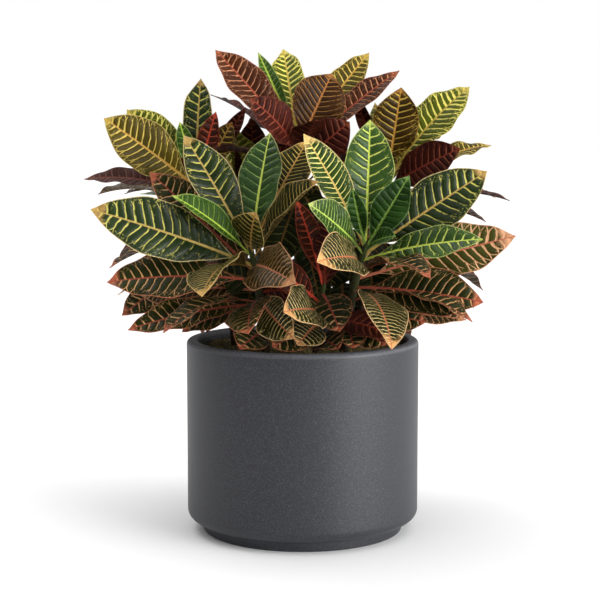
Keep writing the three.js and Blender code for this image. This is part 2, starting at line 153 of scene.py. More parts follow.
@dataclass(frozen=True)
class LeafFinish:
    """The surface of a croton leaf of one colouring: a waxy skin, which gives it a soft gloss.

    The veins are drawn from each leaf's own measures, so they follow its midrib and its margin. The pitch,
    the bands and the sizes of the patterns are in mm; a vein's width, wander and edge are shares of the
    pitch. The veins start and the tip's wash comes in at about those shares of the way along the blade, and
    the veins fork at that share of the way across it. A cut is the two values between which a mark comes in,
    and a cover is how much of the colour below the mark hides, from 0 to 1.
    """

    blade: str
    shade: str
    vein: str
    midrib: str
    margin: str
    tip: str
    underside: str
    vein_width: float
    vein_pitch: float
    vein_start: float = 0.1
    vein_fade: float = 0.85
    fork_from: float = 0.72
    fleck: float = 0.7
    tip_from: float = 0.93
    roughness: float = 0.31
    specular: float = 0.12
    wander: float = 0.8
    wander_size: float = 22.0
    patch_size: float = 11.0
    cloud_size: float = 33.0
    fleck_size: float = 2.4
    grain_size: float = 0.8
    fleck_band: tuple[float, float] = (13.0, 3.0)
    margin_band: tuple[float, float] = (0.55, 1.2)
    rib_edge: float = 0.35
    vein_edge: tuple[float, float] = (-0.03, 0.035)
    ripe_cut: tuple[float, float] = (0.6, 0.78)
    fleck_cut: tuple[float, float] = (0.6, 0.68)
    cloud_cut: tuple[float, float] = (0.35, 0.65)
    tip_cut: tuple[float, float] = (0.95, 1.35)
    gloss_cut: tuple[float, float] = (0.3, 0.7)
    gloss_span: tuple[float, float] = (-0.07, 0.12)
    ripening: float = 0.4
    ragged: float = 0.9
    tip_cover: float = 0.85
    margin_cover: float = 0.9
    underside_cover: float = 0.6
    relief: float = 0.7
    bulge: float = 1.6
    groove: float = -0.8
    grain_share: float = 0.5
    bump: float = 0.6

    def material(self, name: str) -> Material:
        """Makes the leaf's material.

        Args:
            name: the material's name.

        Returns:
            The material.
        """
        material, tree = new_material(name)
        place = add_node(tree, "Attribute", attribute_name="leaf_mm").outputs["Vector"]
        vein, edge, tone = (measure(tree, key) for key in ("leaf_vein", "leaf_edge", "leaf_tone"))
        sizes = (self.wander_size, self.patch_size, self.cloud_size, self.fleck_size, self.grain_size)
        stray, patches, clouds, specks, grain = (
            add_node(tree, "TexNoise", {"Vector": place, "Scale": 1 / size, "Detail": detail})
            for size, detail in zip(sizes, (3.0, 3.0, 3.0, 2.0, 2.0))
        )
        # The veins stray by a few millimetres from their even places, and fork towards the margin.
        phase = add_node(tree, "Math", (stray, self.wander, vein["X"]), operation="MULTIPLY_ADD")
        nearest = add_node(tree, "Math", (phase, 0.5), operation="PINGPONG")
        forked = add_node(tree, "Math", (nearest, vein["Y"]), operation="SUBTRACT")
        branch = add_node(tree, "Math", (forked,), operation="ABSOLUTE")
        outside = add_node(tree, "Math", (branch, vein["Z"]), operation="SUBTRACT")
        soft_edge = (outside, *self.vein_edge, 1.0, 0.0)
        drawn = add_node(tree, "MapRange", soft_edge, interpolation_type="SMOOTHSTEP")
        # Stretches of vein stay green, more of them towards the margin and the stalk.
        ripe = add_node(tree, "Math", (tone["Z"], self.ripening, patches), operation="MULTIPLY_ADD")
        strength = add_node(tree, "MapRange", (ripe, *self.ripe_cut))
        veins = add_node(tree, "Math", (drawn, strength), operation="MULTIPLY")
        # Flecks of 1 to 3 mm gather in the outer band of the blade.
        flecks = add_node(tree, "MapRange", (specks, *self.fleck_cut, 0.0, self.fleck))
        band = add_node(tree, "MapRange", (edge["Y"], *self.fleck_band, 0.0, 1.0))
        outer_flecks = add_node(tree, "Math", (flecks, band), operation="MULTIPLY")
        markings = add_node(tree, "Math", (veins, outer_flecks), operation="MAXIMUM")
        # The blade is cloudy, and its tip, margin, midrib and underside have colours of their own.
        cloudy = add_node(tree, "MapRange", (clouds, *self.cloud_cut))
        ragged_tip = add_node(tree, "Math", (patches, self.ragged, edge["Z"]), operation="MULTIPLY_ADD")
        tip_wash = add_node(tree, "MapRange", (ragged_tip, *self.tip_cut, 0.0, self.tip_cover))
        margin = add_node(tree, "MapRange", (edge["Y"], *self.margin_band, self.margin_cover, 0.0))
        soft_edge = (edge["X"], -self.rib_edge, self.rib_edge, 1.0, 0.0)
        rib = add_node(tree, "MapRange", soft_edge, interpolation_type="SMOOTHSTEP")
        below = add_node(tree, "Math", (tone["X"], self.underside_cover), operation="MULTIPLY")
        colour = linear(self.blade)
        layers = (
            (cloudy, self.shade),
            (markings, self.vein),
            (tip_wash, self.tip),
            (margin, self.margin),
            (rib, self.midrib),
            (below, self.underside),
        )
        for share, top in layers:
            colour = add_node(tree, "Mix", {0: share, 6: colour, 7: linear(top)}, data_type="RGBA").outputs[2]
        # Some leaves are paler than others.
        toned = add_node(tree, "HueSaturation", {"Value": tone["Y"], "Color": colour})
        # The skin is glossier between the veins, and its fine grain breaks the shine.
        shiny, dull = (self.roughness + step for step in self.gloss_span)
        gloss = add_node(tree, "MapRange", (patches, *self.gloss_cut, shiny, dull))
        # The blade bulges between its veins, which lie in shallow grooves.
        rounded = (nearest, 0.0, 0.4, 0.0, self.bulge)
        bulge = add_node(tree, "MapRange", rounded, interpolation_type="SMOOTHSTEP")
        grooved = add_node(tree, "Math", (drawn, self.groove, bulge), operation="MULTIPLY_ADD")
        height = add_node(tree, "Math", (grain, self.grain_share, grooved), operation="MULTIPLY_ADD")
        distance = self.relief * MM
        bump = add_node(tree, "Bump", {"Strength": self.bump, "Distance": distance, "Height": height})
        surface = {"Base Color": toned, "Roughness": gloss, "Normal": bump, "IOR": 1.45}
        return with_surface(material, {**surface, "Specular IOR Level": self.specular})


class Look(Enum):
    """The colourings of the croton's leaves, from the young ones to the oldest.

    The colours are those of the blade, its shaded parts, the veins, the midrib, the margin, the tip and the
    underside. The two numbers after them are the width and the pitch of the veins.
    """

    YOUNG_LIME = LeafFinish(
        "#3b5716", "#294310", "#7c9640", "#a8c048", "#8ca050", "#98a04c", "#3c5a22", 0.08, 7.0,
        fleck=0.2, tip_from=0.97,
    )
    FRESH_GREEN = LeafFinish(
        "#264415", "#1b3210", "#587e3c", "#769442", "#6c8a50", "#748e50", "#304a22", 0.06, 8.0,
        fleck=0.15, tip_from=0.98,
    )
    GREEN_LIME = LeafFinish(
        "#304e0f", "#203a0a", "#c4cc5c", "#b8c64e", "#a8b464", "#a8b460", "#385026", 0.08, 11.0,
        vein_start=0.2, fleck=0.4, tip_from=0.98, specular=0.3,
    )
    LIME_RIBBED = LeafFinish(
        "#24400f", "#182e0a", "#7c9648", "#aebc50", "#98945c", "#989c5c", "#304a22", 0.06, 10.0,
        vein_start=0.25, fleck=0.25, tip_from=0.98, specular=0.3,
    )
    GREEN_GOLD = LeafFinish(
        "#1c2c09", "#121e06", "#b8b054", "#a08644", "#b8a470", "#b08a4c", "#36401e", 0.088, 11.0,
        vein_start=0.4, specular=0.2,
    )
    YELLOW_GREEN = LeafFinish(
        "#50580d", "#3a460a", "#e2d668", "#bca244", "#c8bc66", "#c8b256", "#5c5c22", 0.18, 8.5,
        vein_start=0.12, vein_fade=0.4, fleck=0.9, tip_from=0.9,
    )
    GREEN_SALMON = LeafFinish(
        "#272b0c", "#1b1f07", "#cc9a66", "#984a38", "#a86648", "#b05e42", "#3a2a1a", 0.08, 10.0,
        vein_start=0.25, vein_fade=0.7, tip_from=0.92,
    )
    SALMON_NET = LeafFinish(
        "#3c3c10", "#2a2c0a", "#c4946a", "#a86048", "#bc8864", "#c08c68", "#4a3222", 0.13, 11.0,
        vein_start=0.15, vein_fade=0.2, fork_from=0.6, fleck=0.9, tip_from=0.84,
    )
    GOLD_STRIPED = LeafFinish(
        "#292a09", "#1b1c05", "#d4b45a", "#b4884a", "#c8a868", "#cca058", "#4a3c18", 0.07, 5.6,
        vein_fade=0.5, fork_from=0.9, fleck=0.4, tip_from=0.9,
    )
    ORANGE_TIP = LeafFinish(
        "#262809", "#191b06", "#d8bc7c", "#a86444", "#d0a878", "#d49c62", "#422e1a", 0.085, 6.0,
        vein_fade=0.6, fork_from=0.85, tip_from=0.86,
    )
    PINK_TAN = LeafFinish(
        "#33280a", "#231a06", "#bc8c5c", "#a4664a", "#c08a64", "#c08a5e", "#4c301c", 0.075, 7.0,
        vein_start=0.15, vein_fade=0.5, fork_from=0.8, tip_from=0.9,
    )
    OLIVE_BROWN = LeafFinish(
        "#4c400a", "#393007", "#c0a850", "#b48a3c", "#a89250", "#b09846", "#463416", 0.12, 8.5, vein_fade=0.6
    )
    COPPER_BROWN = LeafFinish(
        "#3c2a07", "#291c04", "#b4963e", "#a87a34", "#8a6a30", "#986834", "#3c240e", 0.11, 8.0, vein_fade=0.7
    )
    DARK_BROWN = LeafFinish(
        "#3a2008", "#271505", "#a07038", "#9c6434", "#7c5028", "#8a5c30", "#3a2210", 0.08, 6.5,
        vein_fade=0.5, fleck=0.5,
    )
    BRONZE_SALMON = LeafFinish(
        "#48220b", "#301507", "#b87c58", "#944832", "#90543c", "#9a5a3a", "#3c1e12", 0.1, 8.5, vein_fade=0.7
    )
    MAROON = LeafFinish(
        "#3a1108", "#270a04", "#844530", "#6e2c1e", "#582a1c", "#66341e", "#2a140c", 0.085, 8.5,
        fleck=0.4, roughness=0.42, specular=0.08,
    )
    PURPLE = LeafFinish(
        "#54302a", "#3e221c", "#7c584c", "#804a3a", "#6a4636", "#764838", "#403028", 0.09, 9.0,
        vein_start=0.3, fleck=0.2, roughness=0.46, specular=0.08,
    )
    FRESH_RED = LeafFinish(
        "#3c190a", "#281006", "#a04a30", "#ac3c28", "#8c3826", "#a84430", "#3a160c", 0.1, 8.0,
        fleck=0.3, roughness=0.4, specular=0.1,
    )
    # Leaves deep inside the plant, painted nearly black-green: painted shade for the shade that falls among
    # the stems.
    DEEP_GREEN = LeafFinish(
        "#1a2006", "#111504", "#525022", "#604622", "#4a3c1c", "#584620", "#242210", 0.08, 9.0,
        fleck=0.3, roughness=0.46, specular=0.08,
    )
    GREEN_STRIPED = LeafFinish(
        "#28460e", "#1c340a", "#a8b460", "#9cb44c", "#a4a868", "#a8b068", "#3c5226", 0.08, 5.6,
        vein_fade=0.5, fork_from=0.9, fleck=0.3, tip_from=0.95, specular=0.2,
    )
    CREAM_STRIPED = LeafFinish(
        "#263e0b", "#1a2c07", "#d0c874", "#b89c54", "#c8b478", "#cca868", "#424a22", 0.12, 6.5,
        vein_fade=0.5, fork_from=0.85, fleck=0.5, tip_from=0.86,
    )


@dataclass(frozen=True)
class StemFinish:
    """The bark of a croton stem: green at the top, turning to a matte grey-brown cork lower down."""

    young: str = "#2e3517"
    old: str = "#241a10"
    cork: str = "#3a2d1e"
    cork_grain: float = 3.0
    cork_cut: tuple[float, float] = (0.45, 0.65)
    relief: float = 0.5
    bump: float = 0.6
    roughness: float = 0.7
    specular: float = 0.15

    def material(self) -> Material:
        """Makes the bark's material.

        Returns:
            The material.
        """
        material, tree = new_material("croton_bark")
        place = add_node(tree, "Attribute", attribute_name="leaf_mm").outputs["Vector"]
        age = measure(tree, "leaf_edge")["Z"]
        grain = add_node(tree, "TexNoise", {"Vector": place, "Scale": 1 / self.cork_grain, "Detail": 4.0})
        spots = add_node(tree, "MapRange", (grain, *self.cork_cut))
        colour = linear(self.old)
        for share, top in ((spots, self.cork), (age, self.young)):
            colour = add_node(tree, "Mix", {0: share, 6: colour, 7: linear(top)}, data_type="RGBA").outputs[2]
        distance = self.relief * MM
        bump = add_node(tree, "Bump", {"Strength": self.bump, "Distance": distance, "Height": grain})
        surface = {"Base Color": colour, "Roughness": self.roughness, "Normal": bump}
        return with_surface(material, {**surface, "Specular IOR Level": self.specular})


@dataclass(frozen=True)
class PlanterFinish:
    """Moulded stone-dust composite: dark grey and matte, with fine pale and dark grit that breaks the sheen.

    The grit of about 0.3 mm is drawn at about 1 mm so that it shows. The rim is painted a shade paler,
    a painted highlight for the light that falls on its top.
    """

    body: str = "#1d1e23"
    cloud: str = "#1b1c20"
    pale_grit: str = "#3c3e46"
    dark_grit: str = "#0e0f11"
    # The rim's colour is a painted highlight, for the light that falls on its top.
    rim: str = "#6a6b70"
    rim_highlight_height: float = 226.0
    rim_highlight_fade: float = 4.0
    cloud_size: float = 60.0
    grit: float = 0.55
    pale_cut: tuple[float, float] = (0.52, 0.64)
    dark_cut: tuple[float, float] = (0.48, 0.36)
    sheen_cut: tuple[float, float] = (0.3, 0.7)
    sheen_span: tuple[float, float] = (-0.08, 0.12)
    grit_cover: float = 0.9
    rim_highlight_cover: float = 0.85
    relief: float = 0.25
    bump: float = 0.35
    roughness: float = 0.48

    def material(self) -> Material:
        """Makes the planter's material.

        Returns:
            The material.
        """
        material, tree = new_material("speckled_composite")
        place = add_node(tree, "TexCoord").outputs["Object"]
        clouds, specks = (
            add_node(tree, "TexNoise", {"Vector": place, "Scale": 1 / (size * MM), "Detail": detail})
            for size, detail in ((self.cloud_size, 4.0), (self.grit * 2, 3.0))
        )
        pale = add_node(tree, "MapRange", (specks, *self.pale_cut, 0.0, self.grit_cover))
        dark = add_node(tree, "MapRange", (specks, *self.dark_cut, 0.0, self.grit_cover))
        # The rim is painted paler from the highlight height up: a painted highlight for the light on its top.
        height = add_node(tree, "SeparateXYZ", (place,)).outputs["Z"]
        low, high = self.rim_highlight_height * MM, (self.rim_highlight_height + self.rim_highlight_fade) * MM
        painted_rim_highlight = add_node(tree, "MapRange", (height, low, high, 0.0, self.rim_highlight_cover))
        colour = linear(self.body)
        layers = (
            (clouds, self.cloud),
            (painted_rim_highlight, self.rim),
            (pale, self.pale_grit),
            (dark, self.dark_grit),
        )
        for share, top in layers:
            colour = add_node(tree, "Mix", {0: share, 6: colour, 7: linear(top)}, data_type="RGBA").outputs[2]
        smooth, dull = (self.roughness + step for step in self.sheen_span)
        sheen = add_node(tree, "MapRange", (specks, *self.sheen_cut, smooth, dull))
        distance = self.relief * MM
        bump = add_node(tree, "Bump", {"Strength": self.bump, "Distance": distance, "Height": specks})
        return with_surface(material, {"Base Color": colour, "Roughness": sheen, "Normal": bump})


@dataclass(frozen=True)
class GroundFinish:
    """Crumbly or fibrous ground: potting soil, or dry moss. It is fully rough and takes no shine."""

    name: str
    deep: str
    middle: str
    top: str
    grain: float
    patch_size: float = 22.0
    patch_cut: tuple[float, float] = (0.38, 0.62)
    lit_cut: tuple[float, float] = (0.42, 0.68)
    tone_range: float = 1.7
    least_tone_and_shade: float = 0.5
    relief: float = 1.5
    bump: float = 0.8
    roughness: float = 0.95

    def material(self) -> Material:
        """Makes the ground's material.

        Returns:
            The material.
        """
        material, tree = new_material(self.name)
        place = add_node(tree, "TexCoord").outputs["Object"]
        patches, crumbs = (
            add_node(tree, "TexNoise", {"Vector": place, "Scale": 1 / (size * MM), "Detail": detail})
            for size, detail in ((self.patch_size, 3.0), (self.grain, 4.0))
        )
        patchy = add_node(tree, "MapRange", (patches, *self.patch_cut))
        lit = add_node(tree, "MapRange", (crumbs, *self.lit_cut))
        colour = linear(self.deep)
        for share, top in ((patchy, self.middle), (lit, self.top)):
            colour = add_node(tree, "Mix", {0: share, 6: colour, 7: linear(top)}, data_type="RGBA").outputs[2]
        # Each loose strand has a tone of its own, and the layer under the strands, which has no tone, is
        # painted darkest: painted shade under the strands.
        own = measure(tree, "strand_tone")["X"]
        value = add_node(tree, "Math", (own, self.tone_range, self.least_tone_and_shade), operation="MULTIPLY_ADD")
        toned = add_node(tree, "HueSaturation", {"Value": value, "Color": colour})
        distance = self.relief * MM
        bump = add_node(tree, "Bump", {"Strength": self.bump, "Distance": distance, "Height": crumbs})
        return with_surface(material, {"Base Color": toned, "Roughness": self.roughness, "Normal": bump})


@dataclass(frozen=True)
class FloorFinish:
    """A plain pale studio floor of matte painted board."""

    paint: str = "#f7f7f7"

    def material(self) -> Material:
        """Makes the floor's material.

        Returns:
            The material.
        """
        material, _ = new_material("pale_painted_board")
        surface = {"Base Color": linear(self.paint), "Roughness": 1.0, "Specular IOR Level": 0.0}
        return with_surface(material, surface)


def put_in_scene(name: str, data: bpy.types.ID) -> Object:
    """Makes an object of a mesh, a light or a camera and puts it in the scene.

    Args:
        name: the object's name.
        data: the mesh, light or camera.

    Returns:
        The object.
    """
    made = bpy.data.objects.new(name, data)
    bpy.context.scene.collection.objects.link(made)
    return made


@dataclass
class MeshParts:
    """Points, faces and per-corner measures that pile up until they become one mesh."""

    points: list[np.ndarray] = field(default_factory=list)
    faces: list[np.ndarray] = field(default_factory=list)
    slots: list[np.ndarray] = field(default_factory=list)
    measures: dict[str, list[np.ndarray]] = field(default_factory=dict)
    count: int = 0

    def add(self, points: np.ndarray, faces: np.ndarray, slot: int, measures: dict[str, np.ndarray]) -> None:
        """Adds one closed surface.

        Args:
            points: its points in mm, one a row.
            faces: its faces as rows of four point numbers, in which a triangle repeats its third.
            slot: the number of its material.
            measures: for each measure, a vector for each of the four corners of each face.
        """
        self.points.append(points)
        self.faces.append(faces + self.count)
        self.slots.append(np.full(len(faces), slot))
        self.count += len(points)
        real = np.ones(faces.shape, bool)
        real[:, 3] = faces[:, 2] != faces[:, 3]
        for name, values in measures.items():
            self.measures.setdefault(name, []).append(values[real])

    def object(self, name: str, materials: list[Material], crease: float) -> Object:
        """Makes the mesh object.

        Args:
            name: the object's name.
            materials: its materials in the order of the slots.
            crease: the angle in degrees from which an edge is drawn sharp.

        Returns:
            The object, placed in the row frame.
        """
        mesh = bpy.data.meshes.new(name)
        faces = np.concatenate(self.faces).tolist()
        trimmed = [face[:3] if face[2] == face[3] else face for face in faces]
        mesh.from_pydata((np.concatenate(self.points) * MM).tolist(), [], trimmed)
        for material in materials:
            mesh.materials.append(material)
        mesh.polygons.foreach_set("material_index", np.concatenate(self.slots))
        for key, values in self.measures.items():
            attribute = mesh.attributes.new(key, "FLOAT_VECTOR", "CORNER")
            attribute.data.foreach_set("vector", np.concatenate(values).astype(np.float32).ravel())
        mesh.update()
        mesh.shade_smooth()
        mesh.set_sharp_from_angle(angle=math.radians(crease))
        return put_in_scene(name, mesh)


def grid_faces(rows: int, columns: int, closed: bool = False) -> np.ndarray:
    """Numbers the faces of a grid of points.

    Args:
        rows: how many rows of points there are.
        columns: how many points a row has.
        closed: whether each row closes on itself.

    Returns:
        One row of four point numbers for each face.
    """
    across = np.arange(columns if closed else columns - 1)
    start = np.arange(rows - 1)[:, None] * columns
    following = (across + 1) % columns
    square = [start + across, start + following, start + columns + following, start + columns + across]
    return np.stack(np.broadcast_arrays(*square), axis=-1).reshape(-1, 4)


def capped_faces(rings: int, columns: int, turned: bool = False) -> np.ndarray:
    """Numbers the faces of rings of points that are closed by a fan at each end.

    Args:
        rings: how many rings there are; the middles of the first and the last one are the last two points.
        columns: how many points a ring has.
        turned: whether each face is turned over, for rings that run the other way.

    Returns:
        One row of four point numbers for each face, in which a triangle repeats its third.
    """
    sides = grid_faces(rings, columns, closed=True)
    first = np.arange(columns)
    last = (rings - 1) * columns + first
    middle = np.full(columns, rings * columns)
    start = np.stack([np.roll(first, -1), first, middle, middle], axis=1)
    end = np.stack([last, np.roll(last, -1), middle + 1, middle + 1], axis=1)
    caps = np.concatenate([start, end])
    if turned:
        sides, caps = sides[:, ::-1], caps[:, [1, 0, 2, 3]]
    return np.concatenate([sides, caps])


def blade_faces(rows: int, columns: int) -> np.ndarray:
    """Numbers the faces of a thin blade: a grid of points above, a grid below and a wall round both.

    Args:
        rows: how many rows of points each grid has.
        columns: how many points a row has.

    Returns:
        One row of four point numbers for each face: those above, those below, then the wall.
    """
    upper = grid_faces(rows, columns)
    lower = rows * columns
    left = np.arange(rows) * columns
    tip = (rows - 1) * columns + np.arange(1, columns)
    right = np.arange(rows - 2, -1, -1) * columns + columns - 1
    rim = np.concatenate([left, tip, right, np.arange(columns - 2, 0, -1)])
    ahead = np.roll(rim, -1)
    wall = np.stack([rim, ahead, ahead + lower, rim + lower], axis=1)
    return np.concatenate([upper, upper[:, ::-1] + lower, wall])


def bearings(count: int) -> np.ndarray:
    """The bearings of evenly spaced points on a ring, in radians."""
    return np.arange(count) / count * 2 * math.pi


def unit(vectors: np.ndarray) -> np.ndarray:
    """Scales each vector to length one."""
    return vectors / np.linalg.norm(vectors, axis=-1, keepdims=True)


def smooth_step(x: np.ndarray, low: float, high: float) -> np.ndarray:
    """Rises smoothly from 0 at low to 1 at high."""
    share = np.clip((x - low) / (high - low), 0, 1)
    return share * share * (3 - 2 * share)


def along_curve(a: np.ndarray, b: np.ndarray, c: np.ndarray, t: np.ndarray) -> tuple[np.ndarray, np.ndarray]:
    """Follows the quadratic curve from a to c that leans towards b.

    Args:
        a: the curve's start.
        b: the point that it leans towards.
        c: its end.
        t: how far along each point lies, from 0 to 1.

    Returns:
        The points and the directions there.
    """
    t = t[:, None]
    points = a * (1 - t) ** 2 + b * (2 * t * (1 - t)) + c * t**2
    return points, unit((b - a) * (1 - t) + (c - b) * t)


@dataclass(frozen=True)
class LeafRow:
    """Where one leaf grows and where it reaches, in the part's own terms."""

    drop: float
    tip: Point
    width: float
    arch: float
    face: Point
    fold: float
    look: Look


@dataclass
class Leaf:
    """One leaf: a thin blade on a stalk, folded along its midrib, with bulges between its veins.

    Lengths are in mm and angles in degrees. Two values in brackets are the ends of a span.
    """

    row: LeafRow
    base: np.ndarray
    rng: np.random.Generator
    cells_along: int = 44
    cells_half: int = 8
    petiole_share: float = 0.12
    petiole_width: float = 3.6
    petiole_taper: float = 0.7
    rise: float = 1.3
    fall: float = 1.0
    full_fold: float = 8.0
    crowding: float = 1.5
    relief_from: float = 3.0
    relief_over: float = 8.0
    twist: float = 7.0
    twist_power: float = 1.5
    scallop: float = 0.032
    scallop_length: float = 7.5
    scallop_shift: float = 2.5
    wave: tuple[float, float] = (1.0, 2.8)
    wave_length: tuple[float, float] = (34.0, 52.0)
    wave_power: float = 2.2
    cup: float = 0.22
    quilting: float = 2.0
    quilting_power: float = 0.7
    coarse_pitch: float = 9.0
    vein_lean: float = 0.36
    vein_curve: float = 0.008
    rib: float = 0.35
    rib_width: float = 1.1
    rib_drawn: tuple[float, float] = (0.5, 1.35)
    keel: float = 1.6
    keel_width: float = 1.3
    rim_thickness: float = 0.3
    extra_thickness: float = 0.4
    fork_to: float = 1.02
    vein_taper: float = 0.6
    vein_swell: float = 0.6
    swell_span: tuple[float, float] = (0.5, 0.95)
    fade_span: tuple[float, float] = (-0.12, 0.15)
    strength: tuple[float, float] = (0.9, 1.0)
    brightness: tuple[float, float] = (0.85, 1.12)
    pattern_reach: float = 900.0
    wash_before: float = 0.1

    def half_width(self, t: np.ndarray) -> np.ndarray:
        """Gives the half width of the blade at each place along the midrib.

        Args:
            t: how far along each place lies, from 0 to 1.

        Returns:
            The half widths in mm.
        """
        u = np.clip((t - self.petiole_share) / (1 - self.petiole_share), 0, 1)
        peak = self.rise / (self.rise + self.fall)
        widest = peak**self.rise * (1 - peak) ** self.fall
        lance = u**self.rise * (1 - u) ** self.fall / widest
        stalk = self.petiole_width / 2 * (1 - self.petiole_taper * t)
        return np.maximum(self.row.width / 2 * lance, stalk)

    def midrib(self, t: np.ndarray) -> tuple[np.ndarray, np.ndarray, np.ndarray]:
        """Follows the midrib.

        Args:
            t: how far along each row of the blade lies, from 0 to 1.

        Returns:
            The points of the midrib, and the blade's sideways and upward directions at each.
        """
        end = np.array(self.row.tip, float)
        length = np.linalg.norm(end - self.base)
        chord = (end - self.base) / length
        face = np.array(self.row.face, float)
        lift = unit(face - chord * face.dot(chord))
        bend = (self.base + end) / 2 + lift * 2 * self.row.arch * length
        middle, tangent = along_curve(self.base, bend, end, t)
        side = unit(np.cross(tangent, lift))
        up = np.cross(side, tangent)
        twist = np.radians(self.rng.uniform(-self.twist, self.twist)) * t[:, None] ** self.twist_power
        return middle, side * np.cos(twist) + up * np.sin(twist), up * np.cos(twist) - side * np.sin(twist)

    def build(self, parts: MeshParts, slot: int) -> None:
        """Adds the leaf's closed surface to the parts.

        Args:
            parts: the mesh of its stem so far.
            slot: the number of its material.
        """
        rng, finish = self.rng, self.row.look.value
        even = np.linspace(0, 1, self.cells_along + 1)
        t = 0.5 * even + 0.25 * (1 - np.cos(math.pi * even))
        middle, side, up = self.midrib(t)
        steps = np.linalg.norm(np.diff(middle, axis=0), axis=1)
        t, s, half = (values[:, None] for values in (t, np.append(0, np.cumsum(steps)), self.half_width(t)))

        # From here on t, s and half run along the leaf, and u and away run across it.
        reach = np.linspace(-1, 1, 2 * self.cells_half + 1)
        u = np.sign(reach) * np.abs(reach) ** self.crowding
        away = np.abs(u)
        blade = np.clip((half - self.relief_from) / self.relief_over, 0, 1)
        scallop = s / self.scallop_length + self.scallop_shift * np.sign(u) + rng.uniform(*ANY_START)
        x = u * half * (1 + self.scallop * blade * np.sin(scallop))
        size = np.abs(x)

        # The veins are counted along the midrib, those of the right side half a step later.
        phase = (s - self.vein_lean * size - self.vein_curve * size**2) / finish.vein_pitch
        phase = phase + np.where(u > 0, 0.5, 0.0) + rng.uniform(0, 1)
        from_vein = 0.5 - np.abs((phase + finish.wander / 2) % 1.0 - 0.5)

        # The blade is folded, cupped, waved at its edge and raised between its veins and on its midrib.
        wave = rng.uniform(*self.wave) * blade
        wave_length = rng.uniform(*self.wave_length)
        start = np.where(u > 0, rng.uniform(*ANY_START), rng.uniform(*ANY_START))
        turns = 2 * math.pi * s / wave_length + start
        height = half * math.tan(math.radians(self.row.fold)) * np.minimum(1, half / self.full_fold) * away
        height = height + self.cup * half * away * (1 - away) * blade
        height = height + wave * away**self.wave_power * np.sin(turns)
        quilting = self.quilting * min(1.0, finish.vein_pitch / self.coarse_pitch)
        bulges = (2 * from_vein - 0.5) * np.sin(np.pi * away) ** self.quilting_power
        height = height + quilting * blade * bulges
        height = height + self.rib * np.exp(-((x / self.rib_width) ** 2))
        keel = self.keel * (1 - self.petiole_taper * t) * np.exp(-((x / self.keel_width) ** 2))
        thick = self.rim_thickness + self.extra_thickness * (1 - away**3) + keel
        middle, side, up = (vectors[:, None] for vectors in (middle, side, up))
        points = [
            (middle + (side * x[..., None] + up * level[..., None])).reshape(-1, 3)
            for level in (height, height - thick)
        ]

        rows, columns = x.shape
        faces = blade_faces(rows, columns)
        cells = (rows - 1) * (columns - 1)
        fork = 0.5 * np.clip((away - finish.fork_from) / (self.fork_to - finish.fork_from), 0, 1)
        swell = 0.75 + self.vein_swell * smooth_step(t, *self.swell_span)
        width = finish.vein_width * (1 - self.vein_taper * away) * swell
        fade = smooth_step(t, *(finish.vein_start + step for step in self.fade_span))
        fade = fade * (1 - finish.vein_fade * u**2) * rng.uniform(*self.strength)
        from_rib = size - (self.rib_drawn[0] + self.rib_drawn[1] * (1 - t) ** 0.8)
        wash = smooth_step(t, finish.tip_from - self.wash_before, 1.0)
        seed, bright = rng.uniform(0, self.pattern_reach), rng.uniform(*self.brightness)
        measures = {}
        for name, values in (
            ("leaf_mm", (x, s, seed)),
            ("leaf_vein", (phase, fork, width)),
            ("leaf_edge", (from_rib, half * (1 - away), wash)),
            ("leaf_tone", (0, bright, fade)),
        ):
            flat = np.stack(np.broadcast_arrays(*values, x)[:3], axis=-1).reshape(-1, 3)
            measures[name] = np.concatenate([flat, flat])[faces]
        # A cell's corner on the midrib takes the count of veins of its own side.
        right = np.zeros(len(faces), bool)
        right[: 2 * cells] = np.tile(np.arange(columns - 1) >= self.cells_half, 2 * (rows - 1))
        measures["leaf_vein"][..., 0] += 0.5 * (right[:, None] & (faces % columns == self.cells_half))
        # The underside has a tone of its own.
        measures["leaf_tone"][cells : 2 * cells, :, 0] = 1.0
        parts.add(np.concatenate(points), faces, slot, measures)


@dataclass(frozen=True)
class LeafHead:
    """A whole head of leaves by the golden angle, upright at its top and drooping lower down.

    Each pair of drop, rise and length is the first leaf's value and that value's change to the last leaf.
    """

    count: int
    turn: float
    without: tuple[int, ...]
    looks: tuple[Look, ...]
    drop: tuple[float, float] = (4, 72)
    rise: tuple[float, float] = (72, -90)
    length: tuple[float, float] = (115, 63)
    slimness: float = 0.33

    def rows(self) -> list[tuple]:
        """Lists its leaves, with the looks shared out from the top down.

        Returns:
            One row that spreads by angle for each leaf.
        """
        rows = []
        for k in range(self.count):
            age = k / (self.count - 1)
            drop = self.drop[0] + self.drop[1] * age
            rise = self.rise[0] + self.rise[1] * age
            length = self.length[0] + self.length[1] * math.sqrt(age)
            if k not in self.without:
                look = self.looks[len(rows) * len(self.looks) // (self.count - len(self.without))]
                rows.append((drop, self.turn + k * GOLDEN_ANGLE, rise, length, self.slimness * length, look))
        return rows


